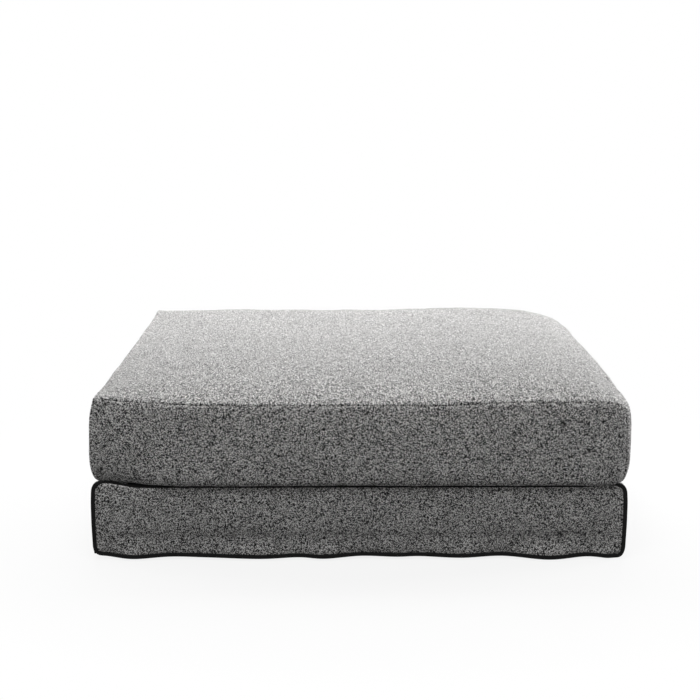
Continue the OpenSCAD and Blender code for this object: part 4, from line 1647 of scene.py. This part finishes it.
@dataclass(frozen=True)
class Scatter:
    """A Geometry Nodes tree that sets small round pieces along lines at an even pitch."""

    name: str
    pitch: float
    size: Triple
    finish: Finish
    segments: int = 6
    rings: int = 4
    uneven: float = 0.06

    def tree(self) -> bpy.types.NodeTree:
        """Builds the tree.

        Returns:
            The tree, with inputs Lines, Pitch, Size and Unevenness.
        """
        tree = bpy.data.node_groups.new(self.name, "GeometryNodeTree")
        face = tree.interface
        face.new_socket("Lines", in_out="INPUT", socket_type="NodeSocketGeometry")
        for name, kind in (("Pitch", "Float"), ("Size", "Vector"), ("Unevenness", "Float")):
            face.new_socket(name, in_out="INPUT", socket_type="NodeSocket" + kind)
        face.new_socket("Pieces", in_out="OUTPUT", socket_type="NodeSocketGeometry")
        net = Net(tree)
        given = net.add("NodeGroupInput").outputs
        curve = net.add("GeometryNodeMeshToCurve", given["Lines"])
        cut = net.add("GeometryNodeResampleCurve", curve, mode="LENGTH")
        net.feed(cut.inputs["Length"], given["Pitch"])
        ball = net.add("GeometryNodeMeshUVSphere", self.segments, self.rings, 0.5)
        along = net.add("FunctionNodeAlignRotationToVector", None, 1.0, net.add("GeometryNodeInputTangent"), axis="X")
        uneven = net.add("FunctionNodeRandomValue", data_type="FLOAT")
        low = net.maths("SUBTRACT", 1.0, given["Unevenness"])
        high = net.maths("ADD", 1.0, given["Unevenness"])
        for socket in uneven.inputs:
            if socket.enabled and socket.name in ("Min", "Max", "Seed"):
                net.feed(socket, {"Min": low, "Max": high, "Seed": int(Seed.SCATTER)}[socket.name])
        scale = net.add("ShaderNodeVectorMath", given["Size"], operation="SCALE")
        net.feed(scale.inputs["Scale"], uneven)
        put = net.add("GeometryNodeInstanceOnPoints")
        for name, source in (("Points", cut), ("Instance", ball), ("Rotation", along), ("Scale", scale)):
            net.feed(put.inputs[name], source)
        solid = net.add("GeometryNodeRealizeInstances", put)
        painted = net.add("GeometryNodeSetMaterial", net.add("GeometryNodeSetShadeSmooth", solid))
        painted.inputs["Material"].default_value = self.finish.make()
        net.add("NodeGroupOutput", painted)
        return tree

    def build(self, name: str, lines: Sequence[Array]) -> Object:
        """Runs the tree on lines and keeps the plain mesh.

        Args:
            name: the piece's name.
            lines: lines of points.

        Returns:
            The piece.
        """
        points = np.concatenate(lines)
        edges, skip = [], 0
        for line in lines:
            edges += [(skip + k, skip + k + 1) for k in range(len(line) - 1)]
            skip += len(line)
        mesh = bpy.data.meshes.new(name + "_line")
        mesh.from_pydata(points.tolist(), edges, [])
        guide = add_object(name + "_line", mesh)
        modifier = guide.modifiers.new("nodes", "NODES")
        modifier.node_group = self.tree()
        values = {"Pitch": self.pitch, "Size": self.size, "Unevenness": self.uneven}
        for item in modifier.node_group.interface.items_tree:
            if item.item_type == "SOCKET" and item.in_out == "INPUT" and item.name in values:
                modifier[item.identifier] = values[item.name]
        solid = bake(guide)
        bpy.data.objects.remove(guide)
        return add_object(name, solid)


# Inside the cushion and the base


@dataclass
class Block:
    """A soft block in the place of a node: foam, fibre, felt or cloth with rounded edges."""

    node: str
    name: str
    body: str
    slot: str
    finish: Finish
    rounding: float = 0.0
    fill: float | None = None
    flat: tuple[float, float] | None = None
    share: float = 1.0

    def build(self) -> Object:
        """Makes the block from a copy of the node's own form, with its flat faces merged, scaled across by its share,
        and its edges rounded if it has a rounding.

        Returns:
            The piece.
        """
        source = NODES[self.node]
        work = bmesh.new()
        work.from_mesh(source.data)
        bmesh.ops.remove_doubles(work, verts=work.verts, dist=0.01 * MM)
        bmesh.ops.dissolve_limit(work, angle_limit=radians(1), verts=work.verts, edges=work.edges)
        bmesh.ops.recalc_face_normals(work, faces=work.faces)
        bmesh.ops.scale(work, vec=(self.share, self.share, 1), verts=work.verts)
        mesh = bpy.data.meshes.new(self.name)
        work.to_mesh(mesh)
        work.free()
        mesh.materials.clear()
        mesh.materials.append(self.finish.make())
        made = add_object(self.name, mesh)
        if self.rounding:
            bevel = made.modifiers.new("rounding", "BEVEL")
            bevel.width, bevel.segments, bevel.limit_method = self.rounding, 3, "ANGLE"
            bevel.angle_limit = radians(30)
            made.data = bake(made)
        made.data.polygons.foreach_set("use_smooth", np.ones(len(made.data.polygons), bool))
        made.data.set_sharp_from_angle(angle=radians(40))
        dress(made, self.body, self.node)
        return made


@dataclass
class Filling:
    """Everything soft that the covers hide: foam, fibre, felt, webbing, tapes and the dust cover."""

    def build(self) -> list[Object]:
        """Makes the soft pieces inside the cushion and the base.

        Returns:
            The pieces.
        """
        blocks = [
            Block("cushion_core", "cushion_core_foam", "cushion", "foam", FOAM, 5 * MM, 0.9, share=0.983),
            Block("fibre_lower", "fibre_lower_layer", "cushion", "fibre", FIBRE, 3 * MM, 0.5, share=0.96),
            *(Block(f"pad_{side.label}", f"pad_{side.label}_foam", "base", "foam", FOAM, 2.5 * MM, 0.8)
              for side in Side),
            Block("deck_felt", "deck_felt_sheet", "base", "lining", FELT, flat=(1.169, 1.169)),
            Block("dust_cover", "dust_cover_sheet", "base", "lining", LINING, flat=(1.163, 1.163)),
            Block("webbing_long", "webbing_long_bands", "base", "webbing", WEBBING),
            Block("webbing_cross", "webbing_cross_bands", "base", "webbing", WEBBING),
            Block("hook_tape", "hook_tape_strips", "base", "grip", HOOKS),
            Block("loop_tape", "loop_tape_strips", "base", "grip", LOOPS),
            Block("zip_tapes", "zip_tape_strips", "cushion", "zip_cloth", ZIP_CLOTH),
        ]
        return [block.build() for block in blocks]


@dataclass
class Zip:
    """The coils of the closed zip in the cushion's back."""

    height: float = CushionShape.zip_z
    face: float = 597.3 * MM
    reach: float = 517.8 * MM
    pitch: float = 2.3 * MM
    apart: float = 1.55 * MM
    tooth: Triple = (1.7 * MM, 1.5 * MM, 3.7 * MM)

    def build(self) -> Object:
        """Makes two rows of teeth that mesh.

        Returns:
            The piece.
        """
        rows = []
        for z, shift in ((self.height - self.apart, 0.0), (self.height + self.apart, self.pitch / 2)):
            rows.append(np.array([(x + shift, self.face, z) for x in (-self.reach, self.reach - self.pitch)]))
        teeth = Scatter("zip_teeth", self.pitch, self.tooth, COIL).build("zip_coil_teeth", rows)
        return dress(teeth, "cushion", "zip_coils")


@dataclass
class Frame:
    """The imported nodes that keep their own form: timber, glides and metal."""

    finishes: tuple[tuple[str, Finish], ...] = (("rail_front", WOOD_X), ("rail_back", WOOD_X), ("rail_left", WOOD_Y),
        ("rail_right", WOOD_Y), ("rail_centre", WOOD_Y), ("rail_screws", STEEL), ("block_", WOOD_Z),
        ("foot_bolts", STEEL), ("foot_", GLIDE), ("webbing_staples", STEEL), ("zip_", ZIP_METAL))

    def dress(self) -> int:
        """Gives each node that still shows its finish.

        Returns:
            The number of nodes dressed.
        """
        count = 0
        for name, node in NODES.items():
            finish = next((f for start, f in self.finishes if name.startswith(start)), None)
            if node.hide_render or finish is None:
                continue
            node.data.materials.clear()
            node.data.materials.append(finish.make())
            count += 1
        return count


# Studio


@dataclass(frozen=True)
class Lamp:
    """A soft rectangular lamp that looks at a point. Its power is in watts, and the angle that it lights in degrees."""

    name: str
    place: Triple
    target: Triple
    size: tuple[float, float]
    power: float
    spread: float = 180.0

    def build(self) -> None:
        """Adds the lamp to the scene."""
        data = bpy.data.lights.new(self.name, "AREA")
        data.shape = "RECTANGLE"
        data.size, data.size_y = self.size
        data.energy = self.power
        data.spread = radians(self.spread)
        made = add_object(self.name, data)
        made.location = self.place
        made.rotation_euler = Vector(np.subtract(self.target, self.place)).to_track_quat("-Z", "Y").to_euler()


@dataclass
class Studio:
    """White floor and world, soft lamps from above and from the sides, and the camera at the photo's place."""

    camera_at: Triple = (-0.043, -3.698, 1.071)
    pitch: float = 10.76
    yaw: float = 0.40
    lens: float = 73.9
    sensor: float = 36.0
    ambient: float = 0.235
    floor_half: float = 30.0
    floor_drop: float = 0.3 * MM
    floor_tone: float = 0.88
    floor_bounce: float = 0.12
    floor_white: float = 0.84
    floor_near: float = 0.72
    floor_clear: float = 1.3
    lamps: tuple[Lamp, ...] = (
        Lamp("lamp_top", (0.0, 1.15, 2.2), (0, 0.42, 0.3), (2.8, 1.1), 14.5, 74),
        Lamp("lamp_front", (-0.3, -1.75, 3.55), (0, -0.6, 0.3), (1.4, 1.4), 43),
        Lamp("lamp_right", (3.2, 0.6, 0.8), (0.4, 0, 0.2), (1.2, 1.2), 56),
        Lamp("lamp_left", (-3.2, 0.8, 0.8), (-0.4, 0, 0.2), (1.2, 1.2), 34))

    @staticmethod
    def seen(net: Net) -> Node:
        """Tells the rays that eyes, mirrors and glass see from those that only light.

        Args:
            net: the tree.

        Returns:
            A node with 1 for the rays that are seen, and 0 for the others.
        """
        path = net.add("ShaderNodeLightPath")
        rays = net.maths("ADD", path.outputs["Is Camera Ray"], path.outputs["Is Glossy Ray"])
        rays = net.maths("ADD", rays, path.outputs["Is Transmission Ray"])
        return net.maths("MINIMUM", rays, 1.0)

    def build_world(self) -> None:
        """Makes a world that lights softly and looks white."""
        world = bpy.data.worlds.new("studio")
        world.use_nodes = True
        net = Net(world.node_tree)
        light = net.add("ShaderNodeBackground", WHITE, self.ambient)
        white = net.add("ShaderNodeBackground", WHITE, 1.0)
        net.add("ShaderNodeOutputWorld", net.add("ShaderNodeMixShader", self.seen(net), light, white))
        bpy.context.scene.world = world

    def build_floor(self) -> None:
        """Makes a wide white floor that keeps the object's shadow."""
        far = self.floor_half
        points = np.array([(x, y, -self.floor_drop) for x, y in ((-far, -far), (far, -far), (far, far), (-far, far))])
        floor = make_object("floor", points, [[0, 1, 2, 3]], TRIM)
        material = bpy.data.materials.new("floor_white")
        material.use_nodes = True
        net = Net(material.node_tree)
        matte = net.add("ShaderNodeBsdfDiffuse", (*[self.floor_tone] * 3, 1))
        white = net.add("ShaderNodeEmission", WHITE, 1.0)
        away = net.add("ShaderNodeVectorMath", net.add("ShaderNodeTexCoord").outputs["Object"], operation="LENGTH")
        share = net.spread(away.outputs["Value"], self.floor_near, self.floor_clear, self.floor_white, 1.0)
        bounce = net.add("ShaderNodeBsdfDiffuse", (*[self.floor_bounce] * 3, 1))
        shown = net.add("ShaderNodeMixShader", share, matte, white)
        net.add("ShaderNodeOutputMaterial", net.add("ShaderNodeMixShader", self.seen(net), bounce, shown))
        floor.data.materials[0] = material

    def build(self) -> None:
        """Builds the world, floor, lamps and camera."""
        self.build_world()
        self.build_floor()
        for lamp in self.lamps:
            lamp.build()
        data = bpy.data.cameras.new("camera")
        data.lens = self.lens
        data.sensor_width = self.sensor
        camera = add_object("camera", data)
        camera.location = self.camera_at
        camera.rotation_euler = (radians(90 - self.pitch), 0.0, radians(-self.yaw))
        bpy.context.scene.camera = camera
        bpy.context.scene.view_settings.view_transform = "Standard"


def main() -> None:
    """Builds the object and the studio, and reports each piece."""
    logging.basicConfig(level=logging.INFO, format="%(name)s: %(message)s")
    Studio().build()
    cushion, cover = Cushion(), BaseCover()
    cushion.shape.shifts = Stuffing().run(cushion.shape)
    made = [cushion.build_top(), *(cushion.build_boxing(s) for s in (Side.FRONT, Side.RIGHT, Side.LEFT)),
        *cushion.build_back(), cushion.build_bottom(), cushion.build_fibre(), cover.build_deck(), cover.build_pad()]
    seams = []
    for side in Side:
        ends = side in (Side.FRONT, Side.BACK)
        trim, seam = cover.build_loop(side) if ends else cover.build_strip(side)
        panel = cover.build_end(side, trim) if ends else cover.build_flank(side, trim)
        made += [panel, trim]
        seams.append(seam)
    made += [cover.build_stitches(seams), *Filling().build(), Zip().build()]
    for piece in made:
        log.info("%s: %d faces", piece.name, len(piece.data.polygons))
    log.info("dressed %d packed nodes", Frame().dress())


if __name__ == "__main__":
    main()
